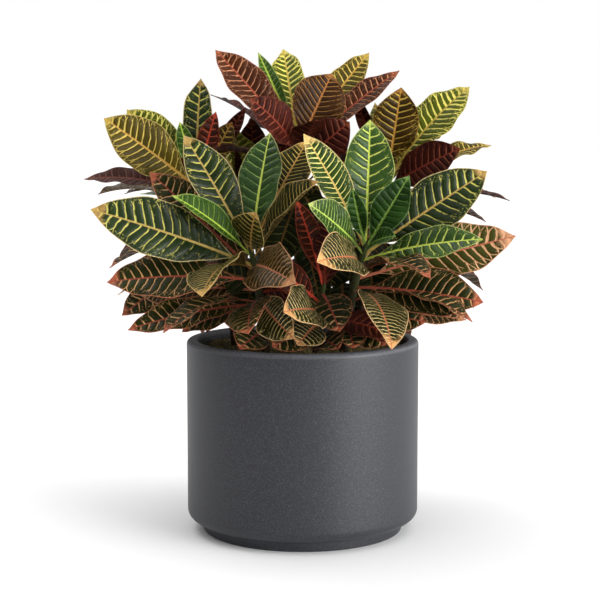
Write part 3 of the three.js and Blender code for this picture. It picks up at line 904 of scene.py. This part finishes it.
@dataclass
class LeafyStem:
    """One stem from its foot in the soil to its growing tip, with all its leaves.

    Each step of the dome at its tip is a height over the top and a share of the top's radius.
    """

    node: str
    foot: tuple[float, float]
    top: Point
    radius: float
    hand_rows: list[tuple] = field(default_factory=list)
    spread_rows: list[tuple] = field(default_factory=list)
    head: LeafHead | None = None
    soil_top: float = 214.0
    depth: float = 60.0
    straight_share: float = 0.35
    top_radius: float = 3.0
    scar: float = 0.45
    scar_length: float = 2.1
    scar_power: int = 8
    sides: int = 20
    steps: int = 56
    dome: tuple = ((2.5, 0.8), (5.0, 0.45), (6.5, 0.08))
    cork_top: float = 20.0
    spread_arch: tuple[float, float] = (0.03, 0.12)
    spread_fold: float = 14.0
    crease: float = 50.0

    def curve(self) -> tuple[np.ndarray, np.ndarray, np.ndarray]:
        """Gives the three points of the stem's curve.

        Returns:
            Its foot, the point that it leans towards and its top.
        """
        x, y = self.foot
        rise = self.soil_top + self.straight_share * (self.top[2] - self.soil_top)
        return np.array([x, y, self.soil_top - self.depth]), np.array([x, y, rise]), np.array(self.top, float)

    def at_drop(self, drop: float) -> np.ndarray:
        """Finds the point on the stem's axis where a leaf grows.

        Args:
            drop: how far below the stem's top it grows.

        Returns:
            The point.
        """
        fine = np.linspace(0, 1, 2001)
        points, _ = along_curve(*self.curve(), fine)
        t = np.interp(self.top[2] - drop, points[:, 2], fine)
        return along_curve(*self.curve(), np.array([t]))[0][0]

    def spread_leaf(
        self, drop: float, angle: float, rise: float, length: float, width: float, look: Look
    ) -> LeafRow:
        """Turns a leaf given by its direction into one given by its tip.

        Args:
            drop: how far below the stem's top it grows.
            angle: its compass angle in degrees.
            rise: its rise above level in degrees.
            length: its length.
            width: its width.
            look: its colouring.

        Returns:
            The leaf's row.
        """
        around, up = math.radians(angle), math.radians(rise)
        out = np.array([math.cos(around), math.sin(around), 0])
        tip = np.array(self.top, float) + out * length * math.cos(up)
        tip[2] += length * math.sin(up) - drop
        face = (-math.sin(up) * out[0], -math.sin(up) * out[1], math.cos(up))
        least, most = self.spread_arch
        arch = least + (most - least) * math.cos(up)
        return LeafRow(drop, tuple(tip), width, arch, face, self.spread_fold, look)

    def leaves(self) -> list[LeafRow]:
        """Lists all leaves of the stem.

        Returns:
            The leaves listed one by one, then those that spread by angle.
        """
        placed = [LeafRow(*row) for row in self.hand_rows]
        head_rows = self.head.rows() if self.head else []
        return placed + [self.spread_leaf(*row) for row in head_rows + self.spread_rows]

    def add_tube(self, parts: MeshParts, rng: np.random.Generator) -> None:
        """Adds the stem itself, with the rings of old leaf scars and a domed growing tip.

        Args:
            parts: the mesh so far.
            rng: the source of the scars' heights.
        """
        t = np.linspace(0, 1, self.steps + 1)
        points, tangent = along_curve(*self.curve(), t)
        radius = self.radius + (self.top_radius - self.radius) * t**2
        scars = np.sin(points[:, 2] / self.scar_length + rng.uniform(*ANY_START))
        radius = radius + self.scar * scars**self.scar_power
        dome = np.array(self.dome)
        points = np.concatenate([points, points[-1] + tangent[-1] * dome[:, :1]])
        tangent = np.concatenate([tangent, np.repeat(tangent[-1:], len(dome), axis=0)])
        radius = np.concatenate([radius, self.top_radius * dome[:, 1]])
        side = unit(np.array([1.0, 0, 0]) - tangent * tangent[:, :1])
        front = np.cross(tangent, side)
        angle = bearings(self.sides)[:, None]
        ring = side[:, None] * np.cos(angle) + front[:, None] * np.sin(angle)
        tube = (points[:, None] + ring * radius[:, None, None]).reshape(-1, 3)
        tube = np.concatenate([tube, points[[0, -1]]])
        faces = capped_faces(len(points), self.sides)
        measures = {"leaf_mm": tube}
        for name in ("leaf_vein", "leaf_edge", "leaf_tone"):
            measures[name] = np.zeros((len(tube), 3))
        measures["leaf_edge"][:, 2] = smooth_step(tube[:, 2], self.soil_top + self.cork_top, self.top[2])
        measures["leaf_tone"][:, 1] = 1
        parts.add(tube, faces, 0, {name: values[faces] for name, values in measures.items()})

    def build(self, rng: np.random.Generator, bark: Material, skins: dict[Look, Material]) -> Object:
        """Builds the whole stem and puts it in place of its CAD node.

        Args:
            rng: the source of the leaves' small differences.
            bark: the stem's material.
            skins: the leaf materials by look.

        Returns:
            The finished piece.
        """
        parts = MeshParts()
        self.add_tube(parts, rng)
        rows = self.leaves()
        looks = list(dict.fromkeys(row.look for row in rows))
        for row in rows:
            Leaf(row, self.at_drop(row.drop), rng).build(parts, 1 + looks.index(row.look))
        made = parts.object(self.node + "_foliage", [bark] + [skins[look] for look in looks], self.crease)
        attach(made, "root")
        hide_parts(self.node)
        LOG.info("%s: %d leaves, %d faces", made.name, len(rows), len(made.data.polygons))
        return made


# The stems repeat the rows of the part's own source, with the colouring that each leaf has.
# A row given one by one: drop, tip, width, arch, face, fold, look. A row that spreads: drop, compass angle,
# rise, length, width, look.
STEMS = [
    LeafyStem(
        "front_left_stem", (-42, -42), (-60, -74, 346), 6,
        hand_rows=[
            (20, (-238, -120, 394), 67, 0.05, FRONT, 12, Look.GREEN_GOLD),
            (8, (-137, -58, 476), 54, 0.03, (0.4, -1, 0.3), 14, Look.GREEN_GOLD),
            (4, (-38, -40, 479), 52, 0.04, (-0.35, -1, 0.25), 14, Look.LIME_RIBBED),
            (10, (-147, -112, 409), 38, 0.05, (0.6, -0.6, 0.6), 24, Look.YOUNG_LIME),
            (6, (-53, -112, 390), 50, 0.06, (-0.4, -0.9, 0.3), 16, Look.GOLD_STRIPED),
            (24, (-108, -212, 306), 64, 0.12, (-0.5, -0.6, 0.7), 14, Look.GOLD_STRIPED),
            (26, (-8, -212, 320), 60, 0.12, (-0.65, -0.5, 0.65), 12, Look.PINK_TAN),
            (12, (17, -130, 426), 54, 0.04, (-0.6, -0.4, 0.7), 26, Look.GOLD_STRIPED),
            (38, (-224, -92, 309), 62, 0.06, SLOPING, 10, Look.GREEN_SALMON),
            (50, (-194, -40, 290), 50, 0.06, SLOPING, 10, Look.PINK_TAN),
            (66, (-200, -100, 255), 44, 0.05, (0, -0.7, 0.7), 14, Look.GREEN_SALMON),
            (60, (-59, -205, 265), 56, 0.05, (-0.4, -0.5, 0.75), 12, Look.GREEN_SALMON),
            (72, (-140, -78, 250), 44, 0.08, (0, -0.5, 0.9), 12, Look.GREEN_SALMON),
            (30, (-180, -30, 433), 50, 0.03, FRONT, 16, Look.GREEN_SALMON),
            (2, (6, -22, 470), 54, 0.04, (-0.3, -1, 0.3), 14, Look.GOLD_STRIPED),
            (58, (-10, -150, 252), 48, 0.08, (-0.5, -0.8, 0.3), 12, Look.ORANGE_TIP),
            (100, (-72, -106, 234), 44, 0.06, HANGING, 12, Look.GREEN_SALMON),
            (52, (-12, -60, 296), 46, 0.06, HANGING, 12, Look.MAROON),
            (40, (-92, -60, 318), 44, 0.06, UPRIGHT, 12, Look.DEEP_GREEN),
        ],
        spread_rows=[
            (28, 155, 12, 145, 46, Look.GREEN_GOLD),
            (42, 92, 8, 120, 42, Look.GREEN_SALMON),
            (64, 215, -12, 120, 44, Look.GREEN_SALMON),
            (84, 130, -14, 90, 40, Look.GREEN_SALMON),
        ],
    ),
    LeafyStem(
        "front_right_stem", (46, -42), (73, -74, 350), 6,
        hand_rows=[
            (4, (78, -52, 494), 58, 0.03, (0.05, -1, 0.15), 14, Look.GREEN_LIME),
            (2, (56, -105, 417), 22, 0.03, (-0.2, -1, 0.3), 20, Look.FRESH_GREEN),
            (6, (120, -105, 431), 40, 0.04, UPRIGHT, 16, Look.FRESH_GREEN),
            (12, (213, -62, 435), 64, 0.03, (-0.1, -1, 0.3), 12, Look.GREEN_GOLD),
            (18, (201, -130, 361), 44, 0.05, SLOPING, 12, Look.GREEN_LIME),
            (40, (247, -62, 360), 62, 0.02, FRONT, 10, Look.SALMON_NET),
            (50, (205, -110, 288), 60, 0.07, (0, -1, 0.45), 12, Look.GREEN_SALMON),
            (84, (191, -62, 262), 32, 0.04, (0, -0.6, 0.8), 14, Look.PINK_TAN),
            (54, (96, -200, 247), 56, 0.12, (0.4, -0.6, 0.7), 14, Look.ORANGE_TIP),
            (10, (6, -160, 402), 46, 0.04, (0.3, -0.8, 0.5), 16, Look.GREEN_STRIPED),
            (30, (15, -205, 342), 58, 0.12, (0.65, -0.5, 0.6), 12, Look.ORANGE_TIP),
            (8, (102, -150, 366), 30, 0.06, (-0.2, -0.8, 0.6), 16, Look.FRESH_GREEN),
            (3, (1, -88, 478), 44, 0.04, (0.5, -1, 0.2), 14, Look.CREAM_STRIPED),
            (98, (96, -92, 237), 36, 0.06, HANGING, 12, Look.GREEN_SALMON),
            (96, (58, -108, 235), 40, 0.06, HANGING, 12, Look.GREEN_SALMON),
            (84, (142, -84, 262), 46, 0.08, HANGING, 12, Look.GREEN_SALMON),
        ],
        spread_rows=[
            (22, 40, 24, 145, 46, Look.GREEN_GOLD),
            (44, 58, 14, 130, 46, Look.GREEN_SALMON),
            (66, 330, -6, 135, 46, Look.GREEN_SALMON),
            (36, 300, 4, 130, 46, Look.GREEN_SALMON),
        ],
    ),
    LeafyStem(
        "low_front_stem", (14, -60), (24, -68, 302), 5,
        hand_rows=[
            (38, (-21, -180, 285), 58, 0.1, (0.65, -0.5, 0.6), 12, Look.ORANGE_TIP),
            (44, (-6, -119, 240), 42, 0.08, (0.3, -0.6, 0.75), 12, Look.ORANGE_TIP),
            (40, (108, -104, 246), 50, 0.08, (0, -0.5, 0.85), 12, Look.MAROON),
            (8, (42, -122, 256), 50, 0.12, FRONT, 10, Look.GREEN_SALMON),
            (0, (-7, -100, 403), 28, 0.04, (0.3, -1, 0.2), 16, Look.FRESH_RED),
            (2, (34, -96, 392), 34, 0.04, (-0.2, -1, 0.2), 14, Look.MAROON),
            (20, (-40, -84, 330), 36, 0.06, FRONT, 12, Look.FRESH_RED),
            (62, (41, -118, 236), 44, 0.06, HANGING, 12, Look.GREEN_SALMON),
            (50, (-35, -104, 236), 44, 0.06, HANGING, 12, Look.GREEN_SALMON),
        ],
        spread_rows=[
            (14, 70, 40, 90, 36, Look.MAROON),
        ],
    ),
    LeafyStem(
        "middle_stem", (-4, 10), (-6, 22, 474), 7,
        hand_rows=[
            (12, (-106, 50, 579), 48, 0.03, (0.5, -1, 0.2), 16, Look.BRONZE_SALMON),
            (4, (-55, 85, 578), 20, 0.03, UPRIGHT, 16, Look.YOUNG_LIME),
            (2, (-24, 105, 583), 41, 0.03, UPRIGHT, 14, Look.YELLOW_GREEN),
            (14, (35, 30, 550), 66, 0.06, (0.15, -1, 0.3), 12, Look.DARK_BROWN),
            (9, (83, 95, 578), 38, 0.03, FRONT, 14, Look.OLIVE_BROWN),
            (20, (119, 66, 555), 34, 0.03, (-0.3, -0.8, 0.5), 20, Look.BRONZE_SALMON),
            (22, (-62, -30, 519), 48, 0.1, (0, -0.8, 0.6), 14, Look.MAROON),
            (30, (-116, 118, 527), 30, 0.06, (0.3, -0.1, 1), 16, Look.PURPLE),
            (16, (-28, 168, 512), 50, 0.1, BACK, 12, Look.BRONZE_SALMON),
            (34, (52, 150, 494), 54, 0.1, BACK, 12, Look.COPPER_BROWN),
            (40, (-70, 150, 492), 52, 0.1, BACK, 12, Look.MAROON),
            (70, (-34, -30, 322), 52, 0.1, FRONT, 12, Look.DEEP_GREEN),
            (60, (34, -20, 350), 50, 0.1, FRONT, 12, Look.DEEP_GREEN),
            (34, (56, 0, 492), 52, 0.05, UPRIGHT, 12, Look.MAROON),
            (50, (-49, 0, 459), 46, 0.05, UPRIGHT, 12, Look.MAROON),
            (90, (18, 0, 416), 46, 0.05, UPRIGHT, 12, Look.DEEP_GREEN),
            (90, (24, -24, 262), 40, 0.08, FRONT, 12, Look.DEEP_GREEN),
        ],
        spread_rows=[
            (56, 200, 20, 120, 44, Look.MAROON),
            (62, 340, 18, 125, 44, Look.MAROON),
            (70, 90, 12, 130, 46, Look.BRONZE_SALMON),
            (34, 290, 40, 84, 36, Look.MAROON),
            (150, 84, -24, 120, 44, Look.MAROON),
        ],
    ),
    LeafyStem(
        "left_stem", (-78, 14), (-130, 25, 424), 6,
        hand_rows=[
            (14, (-234, -20, 496), 63, 0.04, (0.1, -1, 0.35), 10, Look.OLIVE_BROWN),
            (10, (-216, 62, 507), 54, 0.04, (0.2, -1, 0.3), 12, Look.YELLOW_GREEN),
            (2, (-125, 62, 545), 37, 0.03, (-0.2, -1, 0.1), 16, Look.GREEN_GOLD),
            (4, (-149, 32, 492), 22, 0.03, UPRIGHT, 16, Look.YOUNG_LIME),
            (4, (-104, 12, 504), 26, 0.03, UPRIGHT, 16, Look.FRESH_RED),
            (6, (-70, 62, 510), 20, 0.03, (0.3, -0.8, 0.3), 20, Look.MAROON),
            (8, (-86, 45, 492), 32, 0.04, UPRIGHT, 12, Look.COPPER_BROWN),
            (22, (-270, 62, 422), 32, 0.08, (0, -0.6, 0.8), 16, Look.PURPLE),
            (28, (-226, 112, 402), 28, 0.08, LEVEL, 16, Look.PURPLE),
            (16, (-172, 12, 440), 44, 0.05, FRONT, 14, Look.MAROON),
            (60, (-223, 40, 334), 30, 0.1, LEVEL, 14, Look.PURPLE),
            (36, (-206, 150, 440), 52, 0.08, BACK, 12, Look.OLIVE_BROWN),
            (72, (-232, 96, 318), 54, 0.1, (-0.4, 0.3, 0.9), 12, Look.GREEN_SALMON),
            (100, (-214, 20, 262), 50, 0.1, (-0.3, -0.2, 0.9), 12, Look.GREEN_SALMON),
            (60, (-66, -16, 330), 52, 0.08, FRONT, 12, Look.DEEP_GREEN),
            (90, (-216, -20, 262), 46, 0.08, HANGING, 12, Look.GREEN_SALMON),
        ],
        spread_rows=[
            (48, 150, 10, 150, 48, Look.COPPER_BROWN),
            (64, 110, 0, 120, 44, Look.MAROON),
            (86, 215, -8, 120, 44, Look.GREEN_SALMON),
        ],
    ),
    LeafyStem(
        "right_stem", (66, 20), (104, 32, 428), 6,
        hand_rows=[
            (4, (118, 10, 533), 57, 0.03, UPRIGHT, 12, Look.COPPER_BROWN),
            (8, (205, 62, 535), 56, 0.08, (-0.4, -1, 0.5), 12, Look.YELLOW_GREEN),
            (18, (186, -24, 461), 50, 0.06, FRONT, 12, Look.MAROON),
            (22, (241, 130, 463), 32, 0.08, (0, -0.6, 0.8), 14, Look.OLIVE_BROWN),
            (6, (90, 82, 516), 24, 0.04, UPRIGHT, 14, Look.GREEN_GOLD),
            (40, (246, 120, 397), 36, 0.12, LEVEL, 14, Look.GREEN_SALMON),
            (2, (61, 62, 532), 18, 0.03, (-0.3, -1, 0.2), 20, Look.MAROON),
            (30, (184, 126, 488), 52, 0.1, BACK, 12, Look.COPPER_BROWN),
            (70, (232, 70, 318), 54, 0.1, (0.4, 0.2, 0.9), 12, Look.GREEN_SALMON),
            (100, (208, 10, 268), 46, 0.1, (0.3, -0.2, 0.9), 12, Look.GREEN_SALMON),
            (90, (82, -30, 270), 54, 0.1, FRONT, 12, Look.DEEP_GREEN),
            (70, (50, 0, 330), 50, 0.08, FRONT, 12, Look.DEEP_GREEN),
        ],
        spread_rows=[
            (26, 50, 34, 135, 46, Look.OLIVE_BROWN),
            (50, 345, 8, 150, 48, Look.MAROON),
            (60, 25, 0, 140, 46, Look.BRONZE_SALMON),
            (84, 310, -8, 110, 42, Look.MAROON),
            (112, 30, -14, 150, 48, Look.GREEN_SALMON),
            (130, 350, -22, 105, 42, Look.GREEN_SALMON),
        ],
    ),
    LeafyStem(
        "back_left_stem", (-44, 66), (-62, 96, 376), 6,
        hand_rows=[
            (60, (-75, 30, 245), 60, 0.1, FRONT, 12, Look.DEEP_GREEN),
            (40, (-36, 40, 290), 54, 0.1, FRONT, 12, Look.DEEP_GREEN),
            (6, (-63, 80, 497), 46, 0.04, UPRIGHT, 12, Look.MAROON),
        ],
        head=LeafHead(
            22, 100, (2, 7, 9, 10, 12, 14, 15, 17, 20),
            (Look.YELLOW_GREEN, Look.GREEN_GOLD, Look.GREEN_LIME, Look.GREEN_SALMON, Look.ORANGE_TIP),
        ),
        spread_rows=[
            (104, 68, -24, 150, 48, Look.GREEN_SALMON),
            (108, 130, -26, 125, 46, Look.PINK_TAN),
            (92, 188, -4, 120, 44, Look.GREEN_SALMON),
        ],
    ),
    LeafyStem(
        "back_right_stem", (40, 70), (62, 100, 370), 6,
        hand_rows=[
            (70, (50, 24, 240), 54, 0.1, FRONT, 12, Look.DEEP_GREEN),
            (40, (30, 40, 290), 54, 0.1, FRONT, 12, Look.DEEP_GREEN),
        ],
        head=LeafHead(
            22, 60, (1, 6, 7, 9, 12, 14, 15, 17, 19, 20),
            (Look.GREEN_LIME, Look.YELLOW_GREEN, Look.GREEN_GOLD, Look.BRONZE_SALMON, Look.GREEN_SALMON),
        ),
        spread_rows=[
            (104, 104, -24, 150, 48, Look.PINK_TAN),
            (108, 44, -26, 125, 46, Look.GREEN_SALMON),
            (90, 352, -4, 115, 44, Look.GREEN_SALMON),
        ],
    ),
]


@dataclass
class Planter:
    """The cylindrical planter: a straight wall on an inset flat foot, with a soft rim."""

    radius: float = 140.0
    height: float = 232.0
    wall: float = 13.0
    floor_top: float = 26.0
    foot_radius: float = 121.0
    foot_height: float = 14.0
    foot_round: float = 2.0
    notch_round: float = 1.5
    corner_round: float = 12.0
    rim_outer: float = 5.0
    rim_inner: float = 2.0
    wall_from: float = 10.0
    wall_to: float = 8.0
    wall_rows: int = 8
    lip: float = 12.0
    axis_gap: float = 0.05
    around: int = 192
    crease: float = 40.0

    def arc(self, x: float, z: float, radius: float, start: float, end: float, steps: int) -> list[tuple]:
        """Rounds a corner of the profile.

        Args:
            x: the distance of the arc's centre from the axis.
            z: the height of its centre.
            radius: its radius.
            start: the angle where it begins, in degrees.
            end: the angle where it ends.
            steps: how many pieces it has.

        Returns:
            Its points as distance from the axis and height.
        """
        angles = np.radians(np.linspace(start, end, steps + 1))
        return list(zip(x + radius * np.cos(angles), z + radius * np.sin(angles)))

    def profile(self) -> np.ndarray:
        """Draws the outline from the middle of the underside round to the middle of the inner floor.

        Returns:
            Its points as distance from the axis and height, one a row.
        """
        inner, notch = self.radius - self.wall, self.notch_round
        points = [(self.axis_gap, 0.0), (self.foot_radius * 0.5, 0.0)]
        points += self.arc(self.foot_radius - self.foot_round, self.foot_round, self.foot_round, -90, 0, 5)
        points += self.arc(self.foot_radius + notch, self.foot_height - notch, notch, 180, 90, 3)
        bottom = self.foot_height + self.corner_round
        points += self.arc(self.radius - self.corner_round, bottom, self.corner_round, -90, 0, 12)
        outer = self.rim_outer
        low, high = bottom + self.wall_from, self.height - outer - self.wall_to
        points += [(self.radius, z) for z in np.linspace(low, high, self.wall_rows)]
        points += self.arc(self.radius - outer, self.height - outer, outer, 0, 90, 8)
        points += self.arc(inner + self.rim_inner, self.height - self.rim_inner, self.rim_inner, 90, 180, 4)
        points += [(inner, self.height - self.lip), (inner, self.floor_top), (inner * 0.5, self.floor_top)]
        return np.array([*points, (self.axis_gap, self.floor_top)])

    def build(self, finish: PlanterFinish) -> Object:
        """Builds the planter and puts it in place of its CAD node.

        Args:
            finish: its surface.

        Returns:
            The finished piece.
        """
        profile = self.profile()
        angle = bearings(self.around)
        x, y = profile[:, :1] * np.cos(angle), profile[:, :1] * np.sin(angle)
        z = np.repeat(profile[:, 1:], self.around, axis=1)
        points = np.stack([x, y, z], axis=-1).reshape(-1, 3)
        points = np.concatenate([points, [[0, 0, 0], [0, 0, self.floor_top]]])
        parts = MeshParts()
        parts.add(points, capped_faces(len(profile), self.around), 0, {})
        made = parts.object("planter_body", [finish.material()], self.crease)
        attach(made, "root")
        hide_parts("planter")
        LOG.info("%s: %d faces", made.name, len(made.data.polygons))
        return made


@dataclass
class MossCover:
    """The moss on the soil: low cushions, with loose strands that stand and lie on them."""

    radius: float = 126.7
    wall_radius: float = 127.0
    soil_top: float = 214.3
    top: float = 221.0
    dip: float = 2.0
    bump: float = 2.4
    cushion_sizes: tuple[float, float, float] = (11.0, 13.0, 7.0)
    roughness: float = 0.7
    rings: int = 64
    around: int = 160
    strands: int = 5200
    strand_steps: int = 3
    strand_length: tuple[float, float] = (5.0, 13.0)
    strand_width: tuple[float, float] = (0.4, 0.55)
    strand_rise: tuple[float, float] = (8.0, 62.0)
    strand_sag: tuple[float, float] = (0.1, 0.45)
    strand_curl: float = 0.4
    strand_taper: float = 0.85
    strand_depth: float = 1.2
    strand_inset: float = 3.0
    wall_gap: float = 0.3
    crease: float = 70.0

    def height(self, x: np.ndarray, y: np.ndarray) -> np.ndarray:
        """Gives the height of the moss: low cushions that fade out towards the wall.

        Args:
            x: how far right each place lies.
            y: how far back it lies.

        Returns:
            The heights in mm.
        """
        wide, deep, small = self.cushion_sizes
        cushions = np.sin(x / wide + 1) * np.cos(y / deep) + 0.6 * np.sin((x + y) / small)
        fade = 1 - (np.hypot(x, y) / self.wall_radius) ** 6
        return self.top - self.dip + (self.dip + self.bump * cushions) * fade

    def add_layer(self, parts: MeshParts, rng: np.random.Generator) -> None:
        """Adds the closed layer under the strands.

        Args:
            parts: the mesh so far.
            rng: the source of its fine roughness.
        """
        distance = self.radius * np.linspace(0.02, 1, self.rings)[:, None]
        angle = bearings(self.around)
        x, y = distance * np.cos(angle), distance * np.sin(angle)
        rough = rng.uniform(-self.roughness, self.roughness, x.shape) * (distance < self.radius - 1)
        top = np.stack([x, y, self.height(x, y) + rough], axis=-1).reshape(-1, 3)
        rim = np.stack([x[-1], y[-1], np.full(self.around, self.soil_top)], axis=-1)
        peak = self.height(np.zeros(1), np.zeros(1))[0]
        points = np.concatenate([top, rim, [[0, 0, peak], [0, 0, self.soil_top]]])
        faces = capped_faces(self.rings + 1, self.around, turned=True)
        # The layer has no strand tone, so it is painted darkest, a painted shade under the strands.
        parts.add(points, faces, 0, {"strand_tone": np.zeros((*faces.shape, 3))})

    def add_strands(self, parts: MeshParts, rng: np.random.Generator) -> None:
        """Adds the strands, each a slim curved spike with three sides.

        Args:
            parts: the mesh so far.
            rng: the source of their places and directions.
        """
        count, steps = self.strands, self.strand_steps
        spread = (self.radius - self.strand_inset) * np.sqrt(rng.uniform(0, 1, count))
        angle = rng.uniform(0, 2 * math.pi, count)
        x, y = spread * np.cos(angle), spread * np.sin(angle)
        root = np.stack([x, y, self.height(x, y) - self.strand_depth], axis=1)
        turn = rng.uniform(0, 2 * math.pi, count)
        rise = np.radians(rng.uniform(*self.strand_rise, count))[:, None]
        length = rng.uniform(*self.strand_length, count)[:, None]
        out = np.stack([np.cos(turn), np.sin(turn), np.zeros(count)], axis=1)
        across = np.stack([-np.sin(turn), np.cos(turn), np.zeros(count)], axis=1)
        first = out * np.cos(rise) + np.array([0, 0, 1.0]) * np.sin(rise)
        above = np.cross(first, across)
        sag = np.array([0, 0, -1.0]) * rng.uniform(*self.strand_sag, count)[:, None]
        curl = across * rng.uniform(-self.strand_curl, self.strand_curl, count)[:, None]
        rings = []
        for step in range(steps + 1):
            t = step / steps
            middle = root + length * (first * t + (sag + curl) * t * t)
            width = rng.uniform(*self.strand_width) * (1 - self.strand_taper * t)
            for corner in range(3):
                bearing = corner * 2 * math.pi / 3
                rings.append(middle + width * (across * math.cos(bearing) + above * math.sin(bearing)))
        points = np.stack(rings, axis=1).reshape(-1, 3)
        distance = np.hypot(points[:, 0], points[:, 1])
        points[:, :2] *= np.minimum(1, (self.radius - self.wall_gap) / distance)[:, None]
        each = 3 * (steps + 1)
        ends = np.array([[2, 1, 0, 0], [each - 3, each - 2, each - 1, each - 1]])
        one = np.concatenate([grid_faces(steps + 1, 3, closed=True), ends])
        faces = (one + (np.arange(count) * each)[:, None, None]).reshape(-1, 4)
        tone = np.zeros((*faces.shape, 3))
        tone[..., 0] = rng.uniform(0, 1, count).repeat(len(one))[:, None]
        parts.add(points, faces, 0, {"strand_tone": tone})

    def build(self, finish: GroundFinish, rng: np.random.Generator) -> Object:
        """Builds the moss and puts it in place of its CAD node.

        Args:
            finish: its surface.
            rng: the source of its roughness and its strands.

        Returns:
            The finished piece.
        """
        parts = MeshParts()
        self.add_layer(parts, rng)
        self.add_strands(parts, rng)
        made = parts.object("moss_strands", [finish.material()], self.crease)
        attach(made, "root")
        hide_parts("moss_cover")
        LOG.info("%s: %d strands, %d faces", made.name, self.strands, len(made.data.polygons))
        return made


@dataclass
class Studio:
    """A pale floor, soft lights and the camera at the photograph's place.

    A light is its name, its place, the length of its sides in mm and its power in watts. An edge of the strip
    is an axis, where the glow begins, where it is full, and its least share.
    """

    camera_at: Point = (-3.15, -1846.7, 482.4)
    camera_down: float = 6.302
    lens: float = 92.34
    sensor: float = 36.0
    floor_half: float = 30000.0
    sky_low: float = 0.25
    sky_top: float = 1.38
    sky_power: float = 2.0
    strip: float = 13.5
    strip_edges: tuple = (("X", 0.45, 0.7, 0.0), ("Y", 0.2, -0.6, 0.1), ("Z", 0.55, 0.25, 0.0))
    aim: Point = (0, 0, 300)
    lights: tuple = (("key", (1300, -1000, 1700), 900, 1.6), ("fill", (-1000, 800, 1900), 900, 8))

    def add_floor(self, finish: FloorFinish) -> None:
        """Lays the floor under the planter.

        Args:
            finish: its surface.
        """
        reach = self.floor_half * MM
        mesh = bpy.data.meshes.new("studio_floor")
        corners = [(-reach, -reach, 0), (reach, -reach, 0), (reach, reach, 0), (-reach, reach, 0)]
        mesh.from_pydata(corners, [], [(0, 1, 2, 3)])
        mesh.materials.append(finish.material())
        floor = put_in_scene("studio_floor", mesh)

    def add_light(self, name: str, place: Point, size: float, power: float) -> None:
        """Hangs one soft square light that looks at the plant.

        Args:
            name: the light's name.
            place: where it hangs, in mm.
            size: the length of its sides in mm.
            power: its power in watts.
        """
        light = bpy.data.lights.new(name, "AREA")
        light.energy = power
        light.size = size * MM
        holder = put_in_scene(name, light)
        holder.location = Vector(place) * MM
        aim = Vector(self.aim) * MM - holder.location
        holder.rotation_euler = aim.to_track_quat("-Z", "Y").to_euler()

    def add_camera(self) -> None:
        """Puts the camera where the photograph was taken from."""
        camera = bpy.data.cameras.new("photo_camera")
        camera.sensor_width = self.sensor
        camera.lens = self.lens
        camera.clip_end = 100
        holder = put_in_scene("photo_camera", camera)
        holder.location = Vector(self.camera_at) * MM
        holder.rotation_euler = (math.radians(90 - self.camera_down), 0, 0)
        bpy.context.scene.camera = holder

    def add_sky(self) -> None:
        """Lights the scene from all round, and most from overhead, like a large softbox.

        A low strip of light stands on the front right. Where the camera sees the sky it is plain white.
        """
        world = bpy.data.worlds.new("soft_studio")
        bpy.context.scene.world = world
        world.use_nodes = True
        tree = world.node_tree
        tree.nodes.clear()
        generated = add_node(tree, "TexCoord").outputs["Generated"]
        direction = add_node(tree, "SeparateXYZ", (generated,)).outputs
        strip = self.strip
        for axis, *span in self.strip_edges:
            edge = (direction[axis], *span, 1.0)
            part = add_node(tree, "MapRange", edge, interpolation_type="SMOOTHSTEP")
            strip = add_node(tree, "Math", (part, strip), operation="MULTIPLY")
        low = add_node(tree, "Math", (strip, self.sky_low), operation="ADD")
        raised = add_node(tree, "Math", (direction["Z"], 0.0), operation="MAXIMUM")
        squared = add_node(tree, "Math", (raised, self.sky_power), operation="POWER")
        sky = add_node(tree, "Math", (squared, self.sky_top, low), operation="MULTIPLY_ADD")
        seen = add_node(tree, "LightPath").outputs["Is Camera Ray"]
        strength = add_node(tree, "Mix", {"Factor": seen, "A": sky, "B": 1.0}, data_type="FLOAT")
        glow = add_node(tree, "Background", {"Color": linear("#ffffff"), "Strength": strength})
        add_node(tree, "OutputWorld", {"Surface": glow})

    def build(self) -> None:
        """Builds the whole studio."""
        bpy.context.scene.view_settings.view_transform = "Standard"
        self.add_sky()
        self.add_camera()
        self.add_floor(FloorFinish())
        for light in self.lights:
            self.add_light(*light)


def main() -> None:
    """Builds the studio and every piece of the plant, and writes how large the visual model is."""
    logging.basicConfig(level=logging.INFO, format="%(message)s")
    Studio().build()
    rng = np.random.default_rng(SEED)
    Planter().build(PlanterFinish())
    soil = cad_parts["potting_soil"]
    soil.data.materials.clear()
    soil.data.materials.append(GroundFinish("potting_soil", "#1d140d", "#2a1e14", "#3a2c1e", 4.0).material())
    LOG.info("%s: the CAD mesh with a soil finish", soil.name)
    MossCover().build(GroundFinish("dry_moss", "#3e3518", "#64582c", "#988a50", 5.0), rng)
    bark = StemFinish().material()
    skins = {look: look.value.material("croton_leaf_" + look.name.lower()) for look in Look}
    for stem in STEMS:
        stem.build(rng, bark, skins)


if __name__ == "__main__":
    main()
